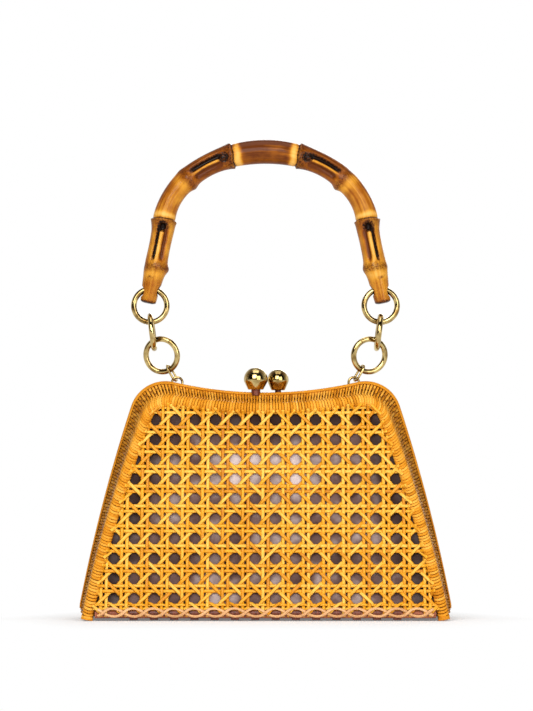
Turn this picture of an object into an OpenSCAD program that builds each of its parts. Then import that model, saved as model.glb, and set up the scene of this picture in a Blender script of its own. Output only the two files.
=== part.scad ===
// Cane-webbing top-handle bag: two woven halves that meet at a rim, hinged on a rod along the
// front of the base, with a ball clasp, two chains of rings and a bamboo handle.
// Millimetres, +Z up, the front faces -Y, the origin lies on the floor under the middle.

/* [Rim outline] */
// Height of the rim's centre line at the shoulders
rim_h = 162.8; // [150:0.1:185]
// Width between the rim's centre lines at the floor
rim_base_w = 257; // [245:1:280]
// Width between the centres of the rim's corner arcs
rim_shoulder_w = 140; // [130:1:156]
// Radius of the rim's corner arcs
rim_corner_r = 22; // [18:0.5:26]
// How far the rim dips between its shoulders
rim_dip = 8; // [4:0.5:12]
// Lean of the sides from the vertical just below the shoulders, degrees
side_lean = 18; // [14:0.5:21]

/* [Front and back panels] */
// How far the panel's border roll lies below the rim at the shoulders
border_drop = 10.8; // [8:0.2:16]
// How far the border roll lies inside the rim at the floor
border_inset = 6.8; // [4:0.2:10]
// How far the border roll's corner centres lie inside the rim's
shoulder_inset = 4; // [2:0.2:6]
// How much less the border dips than the rim
dip_less = 2.5; // [0:0.5:3]
// How much more the border's sides lean than the rim's, degrees
lean_more = 2; // [0:0.5:4]
// Distance between the two bottom rods
base_depth = 82; // [70:1:100]
// Distance between the two border rolls at the shoulders
top_depth = 32; // [26:1:44]

/* [Wicker walls] */
// Radius of the border roll
roll_r = 3.8; // [3:0.1:4.5]
// Radius of the rim coil
rim_r = 2.7; // [2.2:0.1:3.2]
// Radius of the ribs between the two
rib_r = 2.4; // [2:0.1:2.6]
// Number of ribs between the two
rib_count = 3; // [2:1:4]
// Gap between the two rims when shut
rim_gap = 0.6; // [0.4:0.1:1.5]

/* [Cane weave] */
// Distance between neighbouring gaps of the weave
pitch = 13.9; // [13:0.1:15]
// Gap across its flats
gap_across = 7.6; // [6:0.1:8]
// Thickness of the webbing
web_t = 1.6; // [1.2:0.1:2.4]
// Width of a diagonal strand
strand_w = 2; // [1.4:0.1:2.2]
// How far the diagonal strands stand proud
strand_h = 0.6; // [0.3:0.1:1]
// Number of rows of gaps
gap_rows = 10; // [8:1:10]
// Height of the lowest row of gaps above the bottom rod
first_row = 10.4; // [10:0.2:13]
// Solid edge left between the last gap and the border roll
edge_w = 14.2; // [13:0.1:16]

/* [Base and hinge] */
// Radius of the bottom rods
rod_r = 3.2; // [2.6:0.1:3.6]
// Height of the bottom rods' axes
rod_z = 5; // [4.8:0.1:7]
// Width of a lashing round a rod
lash_w = 5.6; // [4:0.2:6.4]
// Thickness of a lashing
lash_t = 1.1; // [0.8:0.1:1.2]
// Running clearance between the lashings and their rod
lash_gap = 0.08; // [0.05:0.01:0.15]
// Length of a lashing's tail on the base
lash_tail = 4; // [3:0.5:8]
// Thickness of the base
base_t = 3; // [2.5:0.1:3.4]
// How far the base's top lies above the rods' axes
base_rise = 1; // [0.6:0.1:1.6]
// Number of reeds across the base
base_reeds = 22; // [14:1:28]

/* [Lining] */
// Thickness of the lining
lining_t = 0.9; // [0.6:0.1:1.2]
// Clearance round the lining
lining_gap = 0.5; // [0.3:0.1:0.8]

/* [Ball clasp] */
// Radius of the front ball
front_ball_r = 8; // [7:0.1:8.2]
// Radius of the back ball
back_ball_r = 6.9; // [6:0.1:7.2]
// Radius of the front stem
front_stem_r = 3.2; // [2.4:0.1:3.4]
// Radius of the back stem
back_stem_r = 2.2; // [1.8:0.1:2.6]
// Gap between the balls when shut
ball_gap = 0.7; // [0.4:0.1:2]
// Height of a ball as a share of its width
ball_height_ratio = 0.9; // [0.86:0.01:0.95]
// Width of the flat round a stem under its ball
ball_flat = 1; // [0.5:0.1:1.5]
// How far the clasp's middle lies right of the bag's
clasp_offset = 1; // [-3:0.5:3]
// How far a stem reaches down round the rim coil
saddle_d = 1.5; // [1:0.1:2]
// Length of a stem between the rim and its ball
stem_l = 5.4; // [4:0.2:9]

/* [Chains] */
// Distance of a staple from the centre of the rim's corner arc
staple_inset = 8; // [7:0.5:20]
// Radius of a staple's arch at its wire's centre
staple_r = 3.6; // [3.2:0.1:4.5]
// Radius of a staple's wire
staple_wire_r = 0.9; // [0.7:0.05:1]
// Length of a staple's shorter leg
staple_leg = 1.2; // [1:0.1:2.5]
// Radius of a ring at its wire's centre
ring_r = 11.6; // [10.5:0.1:13]
// Radius of a ring's wire
ring_wire_r = 2; // [1.6:0.1:2.2]
// Play between two rings when the chain is pulled straight
ring_play = 0.5; // [0.4:0.1:1.2]
// Radius of a link's wire
link_wire_r = 0.8; // [0.6:0.05:0.9]
// Play between the lower and the middle ring, which lean apart
lower_play = 1.2; // [0.9:0.1:2]
// Play between a link and the ring in it
link_play = 0.6; // [0.4:0.1:1]
// Distance between the wires that a link joins
link_l = 6.7; // [6.4:0.1:9]
// Lean of the link and the lower ring from the vertical, degrees
link_lean = 30; // [10:1:36]
// Lean of the middle ring, degrees
middle_lean = 7; // [0:1:14]
// Turn of the lower ring away from the front, degrees
lower_turn = 20; // [0:1:24]

/* [Bamboo handle] */
// Half the span of the handle's arch
arch_half_w = 72; // [60:1:78]
// Rise of the handle's arch above its legs
arch_h = 54.5; // [44:0.5:66]
// Length of a leg above its bore
leg_l = 44; // [34:1:56]
// Length of a tip below its bore
tip_l = 8.5; // [8:0.5:12]
// Radius of the bamboo between its nodes
cane_r = 8; // [7:0.1:8.8]
// How far the nodes stand proud
node_h = 1.1; // [0.5:0.1:1.6]
// Radius of a tip at its end
tip_r = 5.4; // [5:0.1:6]
// Depth of the flutes
flute_d = 1.6; // [0.5:0.1:2.2]
// Length of a flute's run-out at each of its ends
flute_soft = 6; // [3:0.5:8]
// How far a flute stops short of a node
flute_stop = 4; // [2:0.5:8]
// Distances of the nodes from the middle of the arch
node_at = [21, 55, 92, 127]; // [10:1:140]
// Clearance between a bore and the ring in it
bore_gap = 0.3; // [0.25:0.05:0.6]

/* [Hidden] */
$fn = 64;

reed_colour = "#C98A2B";
cane_colour = "#E0A640";
rod_colour = "#7A3F1E";
lining_colour = "#6B4A45";
brass_colour = "#D9B45A";
stem_colour = "#7E4528";
bamboo_colour = "#B06A1E";

tiny = 0.01;
seat_gap = 0.25;

// Steps along a side, round a corner and along half of the top
side_steps = 26;
corner_steps = 8;
top_steps = 14;

// The rim's centre lies this far from the plane where the halves meet
rim_y = rim_r + rim_gap / 2;

// The panel's own plane: it leans back from the bottom rod to the border roll at the shoulders
border_h = rim_h - border_drop;
panel_lean = atan((base_depth - top_depth) / 2 / (border_h - rod_z));
panel_h = (border_h - rod_z) / cos(panel_lean);
border_half_base = rim_base_w / 2 - border_inset;
border_half_shoulder = rim_shoulder_w / 2 - shoulder_inset;
border_corner_r = rim_corner_r - shoulder_inset;
border_dip = rim_dip - dip_less;
border_lean = side_lean + lean_more;

// A point on a side: a curve that starts at the foot and ends along the corner's tangent
function side_point(foot, pull, top, t, inset) =
    let (
        p = (1 - t) * (1 - t) * foot + 2 * t * (1 - t) * pull + t * t * top,
        d = (1 - t) * (pull - foot) + t * (top - pull),
        out = [d.y, -d.x] / norm(d)
    ) p - inset * out;

// The outline of a half from its right foot over the top to its left foot, as [across, up] points
function outline(half_base, h, half_shoulder, r, dip, lean, inset = 0, start = 0) =
    let (
        turn = 2 * atan(dip / half_shoulder),
        centre = [half_shoulder, h - r],
        dip_r = half_shoulder / sin(turn) - r,
        top = centre + r * [cos(lean), sin(lean)],
        pull = [top.x + tan(lean) * top.y / 2, top.y / 2],
        foot = [half_base, 0],
        side = [for (i = [0 : side_steps - 1])
            side_point(foot, pull, top, start + (1 - start) * i / side_steps, inset)],
        corner = [for (i = [0 : corner_steps - 1])
            let (a = lean + (90 + turn - lean) * i / corner_steps)
            centre + (r - inset) * [cos(a), sin(a)]],
        crown = [for (i = [0 : top_steps])
            let (a = turn * (1 - i / top_steps))
            [(dip_r + inset) * sin(a), h - dip + dip_r - (dip_r + inset) * cos(a)]],
        right = concat(side, corner, crown),
        n = len(right)
    ) concat(right, [for (i = [n - 2 : -1 : 0]) [-right[i].x, right[i].y]]);

function rim_outline(start = 0) =
    outline(rim_base_w / 2, rim_h, rim_shoulder_w / 2, rim_corner_r, rim_dip, side_lean, 0, start);

function border_outline(inset = 0, start = 0) =
    outline(border_half_base, panel_h, border_half_shoulder, border_corner_r, border_dip, border_lean,
        inset, start);

// A point of the front panel's plane in the part's frame
function panel_point(p) =
    [p.x, -base_depth / 2 + p.y * sin(panel_lean), rod_z + p.y * cos(panel_lean)];

// Height of the rim's centre line between its shoulders
function rim_z(x) =
    let (
        turn = 2 * atan(rim_dip / (rim_shoulder_w / 2)),
        dip_r = rim_shoulder_w / 2 / sin(turn) - rim_corner_r
    ) rim_h - rim_dip + dip_r - sqrt(dip_r * dip_r - x * x);

function unit(v) = v / norm(v);

// A closed skin over equal rings of points, with flat ends
module skin(rings) {
    m = len(rings);
    n = len(rings[0]);
    sides = [for (s = [0 : m - 2], k = [0 : n - 1])
        let (a = s * n + k, b = s * n + (k + 1) % n)
        each [[a, b + n, b], [a, a + n, b + n]]];
    first = [[for (k = [0 : n - 1]) k]];
    last = [[for (k = [n - 1 : -1 : 0]) (m - 1) * n + k]];
    polyhedron([for (ring = rings) each ring], concat(first, sides, last));
}

// Rings of points along the front wall: section(width, turn) gives [from the border, outwards] points,
// where turn is 0 or 1 from ring to ring
module along_wall(start, section) {
    border = [for (p = border_outline(0, start)) panel_point(p)];
    rim = [for (p = rim_outline(start)) [p.x, -rim_y, p.y]];
    last = len(rim) - 1;
    skin([for (i = [0 : last])
        let (
            across = rim[i] - border[i],
            before = max(i - 1, 0),
            after = min(i + 1, last),
            along = rim[after] + border[after] - rim[before] - border[before],
            e = unit(across),
            out = unit(cross(e, along))
        )
        [for (q = section(norm(across), i % 2)) border[i] + q.x * e + q.y * out]]);
}

// Section of a wicker wall: the border roll, ribs and the rim coil, joined by a flat inside. From turn
// to turn the wefts go over and under the ribs, and leave grooves round the outside of the roll
rib_sink = 0.9;
weft_rise = 0.9;
turn_d = 0.7;
bound_from = 60;
rib_fill = 0.45;
wall_section = function(width, turn) concat(
    [for (a = [200 : -29 : -32]) (roll_r - (a < bound_from ? turn * turn_d : 0)) * [-sin(a), cos(a)]],
    [for (k = [1 : rib_count], a = [50, 0, -50])
        let (
            rib_pitch = width / (rib_count + 1),
            rise = (turn + k) % 2 == 0 ? weft_rise : -weft_rise
        )
        [k * rib_pitch - min(rib_r, rib_fill * rib_pitch) * sin(a), rib_r * cos(a) - rib_sink + rise]],
    [for (a = [40 : -30 : -200]) [width - rim_r * sin(a), rim_r * cos(a)]]);

// Section of the lining strip that lies inside a wall
lining_in = roll_r + lining_gap;
lining_section = function(width, turn) [
    [roll_r, -lining_in],
    [width - rim_r, -rim_r - lining_gap],
    [width - rim_r, -rim_r - lining_gap - lining_t],
    [roll_r, -lining_in - lining_t]
];

module in_panel_plane() {
    translate([0, -base_depth / 2, rod_z]) rotate([90 - panel_lean, 0, 0]) children();
}

module to_back() {
    mirror([0, 1, 0]) children();
}

module to_left() {
    mirror([1, 0, 0]) children();
}

// The wall ends in two flat feet on the floor
foot_start = -0.06;
module wicker_wall() {
    difference() {
        along_wall(foot_start, wall_section);
        translate([-rim_base_w, -base_depth, -rim_h]) cube([2 * rim_base_w, 2 * base_depth, rim_h]);
    }
}

// The webbing stops above the lashings and reaches the rod only between them
web_inset = roll_r + seat_gap;
web_bottom = rod_r + lash_gap + lash_t + 2 * seat_gap;
tooth_w = pitch - lash_w - 4 * seat_gap;
function half_width_at(v) =
    let (side = [for (p = border_outline(web_inset)) if (p.x > 0) p])
    max([for (i = [0 : len(side) - 2])
        let (a = side[i], b = side[i + 1])
        if (v >= min(a.y, b.y) && v <= max(a.y, b.y))
            a.x + (b.x - a.x) * (v - a.y) / (b.y - a.y)]);

function gap_columns(v) = floor((half_width_at(v + gap_across / 2) - edge_w) / pitch + 0.5);

function gap_centres() = [for (j = [0 : gap_rows - 1])
    let (v = first_row + j * pitch, n = gap_columns(v))
    for (i = [-n : n - 1]) [(i + 0.5) * pitch, v]];

tooth_count = floor((border_half_base - web_inset - tooth_w) / pitch);

module web_outline(inset) {
    difference() {
        polygon(border_outline(inset));
        translate([-rim_base_w / 2, -rim_h]) square([rim_base_w, rim_h + web_bottom]);
    }
}

module web_teeth() {
    low = rod_r + tiny;
    for (i = [-tooth_count : tooth_count])
        translate([i * pitch - tooth_w / 2, low]) square([tooth_w, web_bottom - low + tiny]);
}

module web_gaps() {
    for (p = gap_centres())
        translate(p) rotate(22.5) circle(gap_across / 2 / cos(22.5), $fn = 8);
}

// Where a diagonal strand passes over a pair of straight ones: [across, up, direction]. One way
// passes over between gaps that are side by side, the other between gaps that are one above the other
function web_floats() = [for (p = gap_centres())
    each concat(
        has_gap(p + [pitch, 0]) ? [[p.x + pitch / 2, p.y, 45]] : [],
        has_gap(p + [0, pitch]) ? [[p.x, p.y + pitch / 2, -45]] : [])];

function has_gap(p) =
    p.y < first_row + (gap_rows - 0.5) * pitch && abs(p.x) < gap_columns(p.y) * pitch;

float_l = pitch / sqrt(2);
module web_diagonals() {
    for (f = web_floats())
        translate([f[0], f[1]]) rotate(f[2]) square([float_l, strand_w], center = true);
}

module woven_panel() {
    in_panel_plane() {
        translate([0, 0, -web_t / 2]) linear_extrude(web_t) difference() {
            union() {
                web_outline(web_inset);
                web_teeth();
            }
            web_gaps();
        }
        translate([0, 0, web_t / 2 - tiny]) linear_extrude(strand_h + tiny) web_diagonals();
    }
}

module rod_axis() {
    translate([0, -base_depth / 2, rod_z]) rotate([0, 90, 0]) children();
}

rod_l = 2 * (border_half_base - roll_r - 4 * seat_gap);
module bottom_rod() {
    rod_axis() cylinder(r = rod_r, h = rod_l, center = true);
}

// A lashing is a loop round the rod with a tail that lies on the base
base_top = rod_z + base_rise;
base_front = -base_depth / 2 + rod_r + lash_gap + lash_t + seat_gap;
module lashing() {
    outer_r = rod_r + lash_gap + lash_t;
    difference() {
        union() {
            rod_axis() cylinder(r = outer_r, h = lash_w, center = true);
            translate([-lash_w / 2, -base_depth / 2, base_top])
                cube([lash_w, base_front + lash_tail + base_depth / 2, lash_t]);
        }
        rod_axis() cylinder(r = rod_r + lash_gap, h = 2 * lash_w, center = true);
    }
}

module lashings() {
    for (i = [-tooth_count : tooth_count - 1])
        translate([(i + 0.5) * pitch, 0, 0]) lashing();
}

// The base: reeds laid across, cut to the plan of the walls' inside
wall_in = roll_r + 2 * seat_gap;
module base_plan() {
    corner = border_half_base - wall_in;
    middle = rim_base_w / 2 - wall_in;
    polygon([
        [-corner, base_front], [corner, base_front], [middle, -rim_y], [middle, rim_y],
        [corner, -base_front], [-corner, -base_front], [-middle, rim_y], [-middle, -rim_y]
    ]);
}

module base_section() {
    reed = -2 * base_front / base_reeds;
    arc_steps = 4;
    scallops = [for (i = [0 : base_reeds - 1], k = [0 : arc_steps - 1])
        let (a = 180 * k / arc_steps)
        [base_front + (i + 0.5) * reed - cos(a) * reed / 2, -base_t + (1 - sin(a)) * reed / 4]];
    polygon(concat([[base_front, 0]], scallops, [[-base_front, -base_t + reed / 4], [-base_front, 0]]));
}

module base_sheet(z, t, inset) {
    translate([0, 0, z]) linear_extrude(t) polygon([
        for (s = [[-1, -1], [1, -1], [1, 1], [-1, 1]])
            [s.x * (border_half_base - wall_in - inset), s.y * (-base_front - lash_tail - inset)]
    ]);
}

// The lining of a half: a sheet behind the webbing and a strip inside the wall
lining_start = 0.08;
sheet_back = web_t / 2 + lining_gap;
module half_lining() {
    in_panel_plane() translate([0, 0, -sheet_back - lining_t]) linear_extrude(lining_t) difference() {
        polygon(border_outline(lining_in + lining_t + lining_gap));
        translate([-rim_base_w / 2, -rim_h]) square([rim_base_w, rim_h + web_bottom + 2 * lining_gap]);
    }
    along_wall(lining_start, lining_section);
}

// A clasp stem saddles the rim coil, and its ball sits on the stem's flat end
stem_low = rim_r - saddle_d;
function stem_y(r) = -(rim_gap / 2 + seat_gap / 2 + r);
module clasp_stem(x, r) {
    z = rim_z(x);
    difference() {
        translate([x, stem_y(r), z + stem_low]) cylinder(r = r, h = stem_l + rim_r - stem_low);
        translate([x, -rim_y, z]) rotate([0, 90, 0])
            cylinder(r = rim_r + seat_gap, h = 4 * r, center = true);
    }
}

// The ball is turned: a round crown, and a cone down to a flat
cone_from = -25;
module clasp_ball(x, stem_r, r) {
    h = 2 * r * ball_height_ratio;
    arc_steps = 24;
    crown = [for (k = [0 : arc_steps])
        let (a = 90 + (cone_from - 90) * k / arc_steps)
        [r * cos(a), h - r + r * sin(a)]];
    translate([x, stem_y(stem_r), rim_z(x) + rim_r + stem_l])
        rotate_extrude() polygon(concat([[0, h]], [for (k = [1 : arc_steps]) crown[k]],
            [[stem_r + ball_flat, 0], [0, 0]]));
}

// The balls lie side by side, either side of the middle
front_ball_x = -(front_ball_r + ball_gap / 2) + (front_ball_r - back_ball_r) / 2 + clasp_offset;
back_ball_x = front_ball_x + front_ball_r + back_ball_r + ball_gap;

// Chains: places are for the right-hand side, along lines that lean outwards as they rise
chain_y = rim_y;
function lean_dir(a) = [sin(a), 0, cos(a)];
staple_x = rim_shoulder_w / 2 - staple_inset;
staple_z = rim_z(staple_x) + rim_r + staple_leg;
link_at = [staple_x, chain_y, staple_z] + staple_r * lean_dir(link_lean);
lower_hook = link_at + link_l * lean_dir(link_lean);
lower_at = lower_hook + ring_r * lean_dir(link_lean);
middle_hook = lower_at + ring_r * lean_dir(link_lean);
middle_at = middle_hook + (ring_r - 2 * ring_wire_r - lower_play) * lean_dir(middle_lean);
upper_hook = middle_at + ring_r * lean_dir(middle_lean) - [0, 0, 2 * ring_wire_r + ring_play];
upper_at = upper_hook + [0, 0, ring_r];

module ring_torus() {
    rotate_extrude() translate([ring_r, 0]) circle(ring_wire_r);
}

module chain_ring(at, lean, turn) {
    translate(at) rotate([0, lean, 0]) rotate([0, 0, turn]) rotate([90, 0, 0]) ring_torus();
}

module staple() {
    translate([staple_x, chain_y, staple_z]) {
        rotate([90, 0, 0]) rotate_extrude(angle = 180) translate([staple_r, 0]) circle(staple_wire_r);
        for (side = [-1, 1]) {
            foot = rim_z(staple_x + side * staple_r) + rim_r + seat_gap - staple_z;
            translate([side * staple_r, 0, foot]) cylinder(r = staple_wire_r, h = -foot);
        }
    }
}

// An oval link in the staple and round the lower ring's wire, square to that wire
link_bend_r = ring_wire_r + link_play + link_wire_r;
link_low = staple_wire_r + link_wire_r + ring_play;
module chain_link() {
    straight = link_l + link_low - link_bend_r;
    translate(lower_hook) rotate([0, link_lean, 0]) rotate([0, 0, lower_turn + 90]) rotate([90, 0, 0]) {
        rotate_extrude(angle = 180) translate([link_bend_r, 0]) circle(link_wire_r);
        translate([0, -straight, 0]) rotate([0, 0, 180])
            rotate_extrude(angle = 180) translate([link_bend_r, 0]) circle(link_wire_r);
        for (side = [-1, 1])
            translate([side * link_bend_r, 0, 0]) rotate([90, 0, 0])
                cylinder(r = link_wire_r, h = straight);
    }
}

// The handle's bore is as tight as the ring's bend through it lets it be
bore_swell = 1.4;
bore_half_l = tip_r + bore_swell;
ring_in_r = ring_r - ring_wire_r;
ring_out_r = ring_r + ring_wire_r;
ring_low = sqrt(ring_in_r * ring_in_r - bore_half_l * bore_half_l);
bore_r = (ring_out_r - ring_low) / 2 + bore_gap;
bore_at = upper_at + [0, 0, (ring_out_r + ring_low) / 2];
spring_z = bore_at.z + leg_l;
leg_lean = atan((bore_at.x - arch_half_w) / leg_l);
mm_per_degree = (arch_half_w + arch_h) / 2 * PI / 180;
arch_l = 90 * mm_per_degree;
half_l = arch_l + (leg_l + tip_l) / cos(leg_lean);

// A station of the handle's right half at a distance from the middle: [x, z, direction]
function handle_station(s) =
    s <= arch_l
        ? let (a = 90 - s / mm_per_degree)
            [arch_half_w * cos(a), spring_z + arch_h * sin(a),
                atan2(-arch_h * cos(a), arch_half_w * sin(a))]
        : let (d = s - arch_l)
            [arch_half_w + d * sin(leg_lean), spring_z - d * cos(leg_lean), leg_lean - 90];

function bump(d, width) = exp(-d * d / (width * width));
function fade(d) = min(1, max(0, d / flute_soft));
function flute_run(s, from, to) = fade(s - from - flute_stop) * fade(to - flute_stop - s);

// Radius of the bamboo: a waist between nodes, a proud ring at each, and a tapered tip
node_w = 3;
function cane_radius(s) =
    let (
        proud = max([for (n = node_at) bump(s - n, node_w)]),
        tip = max(0, (s - node_at[3]) / (half_l - node_at[3]))
    ) (cane_r + node_h * proud) * (1 - tip) + tip_r * tip;

// Flutes lie on the front face between the first and second node pairs from each end
flute_half_angle = 34;
function flute(s, a) =
    let (run = flute_run(s, node_at[2], node_at[3]) + flute_run(s, node_at[0], node_at[1]))
    flute_d * run * bump(a - 270, flute_half_angle);

handle_sides = 14;
handle_step = 3.4;
module bamboo() {
    half_steps = ceil(half_l / handle_step);
    skin([for (i = [-half_steps : half_steps])
        let (
            s = abs(i) * half_l / half_steps,
            side = i < 0 ? -1 : 1,
            p = handle_station(s),
            r = cane_radius(s),
            normal = [-sin(p[2]), cos(p[2])]
        )
        [for (k = [0 : handle_sides - 1])
            let (a = 360 * k / handle_sides, q = r - flute(s, a))
            [side * (p[0] + q * cos(a) * normal.x), chain_y + q * sin(a), p[1] + q * cos(a) * normal.y]]]);
}

module front_wall() { color(reed_colour) wicker_wall(); }
module front_panel() { color(cane_colour) woven_panel(); }
module front_bottom_rod() { color(rod_colour) bottom_rod(); }
module front_lining() { color(lining_colour) half_lining(); }
module front_clasp_stem() { color(stem_colour) clasp_stem(front_ball_x, front_stem_r); }
module front_clasp_ball() { color(brass_colour) clasp_ball(front_ball_x, front_stem_r, front_ball_r); }
module back_wall() { color(reed_colour) to_back() wicker_wall(); }
module back_panel() { color(cane_colour) to_back() woven_panel(); }
module back_bottom_rod() { color(rod_colour) to_back() bottom_rod(); }
module back_clasp_stem() { color(stem_colour) to_back() clasp_stem(back_ball_x, back_stem_r); }
module back_clasp_ball() { color(brass_colour) to_back() clasp_ball(back_ball_x, back_stem_r, back_ball_r); }
module front_lashings() { color(rod_colour) lashings(); }
module back_lashings() { color(rod_colour) to_back() lashings(); }

module back_lining() {
    color(lining_colour) {
        to_back() half_lining();
        base_sheet(base_top + seat_gap, lining_t, lining_in + lining_t);
    }
}

module base_panel() {
    color(reed_colour) intersection() {
        translate([-rim_base_w / 2, 0, base_top]) rotate([90, 0, 90])
            linear_extrude(rim_base_w) base_section();
        translate([0, 0, base_top - 2 * base_t]) linear_extrude(3 * base_t) base_plan();
    }
}

module right_staple() { color(brass_colour) staple(); }
module right_link() { color(brass_colour) chain_link(); }
module right_lower_ring() { color(brass_colour) chain_ring(lower_at, link_lean, lower_turn); }
module right_middle_ring() { color(brass_colour) chain_ring(middle_at, middle_lean, 90); }
module right_upper_ring() { color(brass_colour) chain_ring(upper_at, 0, 0); }
module left_staple() { to_left() right_staple(); }
module left_link() { to_left() right_link(); }
module left_lower_ring() { to_left() right_lower_ring(); }
module left_middle_ring() { to_left() right_middle_ring(); }
module left_upper_ring() { to_left() right_upper_ring(); }

module bamboo_handle() {
    color(bamboo_colour) difference() {
        bamboo();
        for (side = [-1, 1])
            translate([side * bore_at.x, chain_y, bore_at.z]) rotate([0, 90, 0])
                cylinder(r = bore_r, h = 4 * cane_r, center = true);
    }
}

front_wall();
front_panel();
front_bottom_rod();
front_lining();
front_clasp_stem();
front_clasp_ball();
back_wall();
back_panel();
back_bottom_rod();
back_lining();
back_clasp_stem();
back_clasp_ball();
base_panel();
front_lashings();
back_lashings();
left_staple();
left_link();
left_lower_ring();
left_middle_ring();
left_upper_ring();
right_staple();
right_link();
right_lower_ring();
right_middle_ring();
right_upper_ring();
bamboo_handle();
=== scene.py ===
"""Looks of a cane-webbing top-handle bag, built round its packed construction.

Sizes are in millimetres and are turned into metres when a mesh is made. +X is to the right of the
front, +Y to the back and +Z up, and the floor is at z = 0.
"""

import logging
import math
from dataclasses import dataclass, field
from enum import Enum

import bpy
import numpy as np
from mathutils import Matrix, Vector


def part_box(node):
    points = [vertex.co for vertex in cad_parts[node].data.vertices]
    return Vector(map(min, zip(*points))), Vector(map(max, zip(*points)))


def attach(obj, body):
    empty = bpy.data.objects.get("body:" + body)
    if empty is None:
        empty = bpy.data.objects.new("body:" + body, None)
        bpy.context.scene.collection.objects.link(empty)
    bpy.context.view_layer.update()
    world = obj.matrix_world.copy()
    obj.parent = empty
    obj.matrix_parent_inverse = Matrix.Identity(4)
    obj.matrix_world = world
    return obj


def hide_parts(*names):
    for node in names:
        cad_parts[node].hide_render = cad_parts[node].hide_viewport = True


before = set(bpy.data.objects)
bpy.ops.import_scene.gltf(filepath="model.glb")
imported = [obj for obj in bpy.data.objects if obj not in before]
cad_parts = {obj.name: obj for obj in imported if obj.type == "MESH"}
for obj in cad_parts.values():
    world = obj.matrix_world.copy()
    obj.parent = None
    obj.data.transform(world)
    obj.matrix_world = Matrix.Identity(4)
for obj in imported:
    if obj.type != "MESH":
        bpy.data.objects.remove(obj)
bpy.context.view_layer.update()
LOG = logging.getLogger("bag")
MM = 0.001
TAU = 2 * math.pi
MID_T = 3
END_T = 6
GRAIN_JUMP = 97.0
Array = np.ndarray
Triple = tuple[float, float, float]
Socket = bpy.types.NodeSocket


class Side(Enum):
    """The two woven halves: the body that each rides on and the sign of its Y."""

    FRONT = ("front", "front_half", 1.0)
    BACK = ("back", "basket", -1.0)

    @property
    def prefix(self) -> str:
        """The word that the half's node names start with."""
        return self.value[0]

    @property
    def body(self) -> str:
        """The body that the half rides on."""
        return self.value[1]

    @property
    def sign(self) -> float:
        """1 for the front half, which is drawn as it is, and -1 for the back half."""
        return self.value[2]


class Hand(Enum):
    """The two ends of the handle and the sign of their X."""

    LEFT = ("left", -1.0)
    RIGHT = ("right", 1.0)


def unit(v: Array) -> Array:
    """Vectors along the last axis at length 1."""
    return v / np.linalg.norm(v, axis=-1, keepdims=True)


def smooth(x: Array) -> Array:
    """The S-curve 3x^2 - 2x^3 of x held between 0 and 1."""
    x = np.clip(x, 0.0, 1.0)
    return x * x * (3 - 2 * x)


def bell(d: Array, width: float) -> Array:
    """A bell curve of a distance: exp of minus the square of distance over width."""
    return np.exp(-((d / width) ** 2))


def squared(along: Array, run: Array) -> Array:
    """Unit vectors as near to the first ones as they can be while square to the second, unit, ones."""
    return unit(along - (along * run).sum(-1, keepdims=True) * run)


@dataclass(frozen=True)
class Fade:
    """An S-curve that is 0 up to a start and 1 from a run past it; a negative run fades downwards."""

    start: float
    run: float

    def at(self, x: Array) -> Array:
        """The curve at x."""
        return smooth((x - self.start) / self.run)


def srgb(code: str) -> tuple[float, float, float, float]:
    """A colour code as linear light, by the usual sRGB curve.

    Args:
        code: a code of the form #RRGGBB.

    Returns:
        Linear red, green, blue and alpha.
    """
    parts = [int(code[i:i + 2], 16) / 255 for i in (1, 3, 5)]
    linear = [c / 12.92 if c <= 0.04045 else ((c + 0.055) / 1.055) ** 2.4 for c in parts]
    return (*linear, 1.0)


def turned(x: float, y: float, z: float) -> Array:
    """The matrix of a turn about X, then Y, then Z.

    Args:
        x, y, z: the turns, in degrees.

    Returns:
        The (3, 3) matrix.
    """
    a, b, c = np.radians([x, y, z])
    about_x = np.array([[1, 0, 0], [0, np.cos(a), -np.sin(a)], [0, np.sin(a), np.cos(a)]])
    about_y = np.array([[np.cos(b), 0, np.sin(b)], [0, 1, 0], [-np.sin(b), 0, np.cos(b)]])
    about_z = np.array([[np.cos(c), -np.sin(c), 0], [np.sin(c), np.cos(c), 0], [0, 0, 1]])
    return about_z @ about_y @ about_x


def tube_faces(count: int, rings: int, sides: int) -> list[Array]:
    """Faces of equal tubes, each a stack of rings with a flat cap at both ends.

    Args:
        count: number of tubes.
        rings: rings in a tube.
        sides: points in a ring.

    Returns:
        The quads between the rings, and the caps.
    """
    i = np.arange(rings - 1)[:, None] * sides
    j = np.arange(sides)
    k = (j + 1) % sides
    quads = np.stack(np.broadcast_arrays(i + j, i + k, i + sides + k, i + sides + j), -1).reshape(-1, 4)
    caps = np.stack([j[::-1], (rings - 1) * sides + j])
    start = np.arange(count)[:, None, None] * rings * sides
    return [(start + quads).reshape(-1, 4), (start + caps).reshape(-1, sides)]


def grid_faces(rows: int, columns: int, closed: bool = False) -> list[Array]:
    """Quads of a grid of points.

    Args:
        rows: points the first way.
        columns: points the second way.
        closed: whether the grid joins on to itself both ways, as a ring's does.

    Returns:
        The quads, as a list of one array.
    """
    i = np.arange(rows if closed else rows - 1)[:, None]
    j = np.arange(columns if closed else columns - 1)
    a, b = i * columns, (i + 1) % rows * columns
    k = (j + 1) % columns
    return [np.stack(np.broadcast_arrays(a + j, a + k, b + k, b + j), -1).reshape(-1, 4)]


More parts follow.
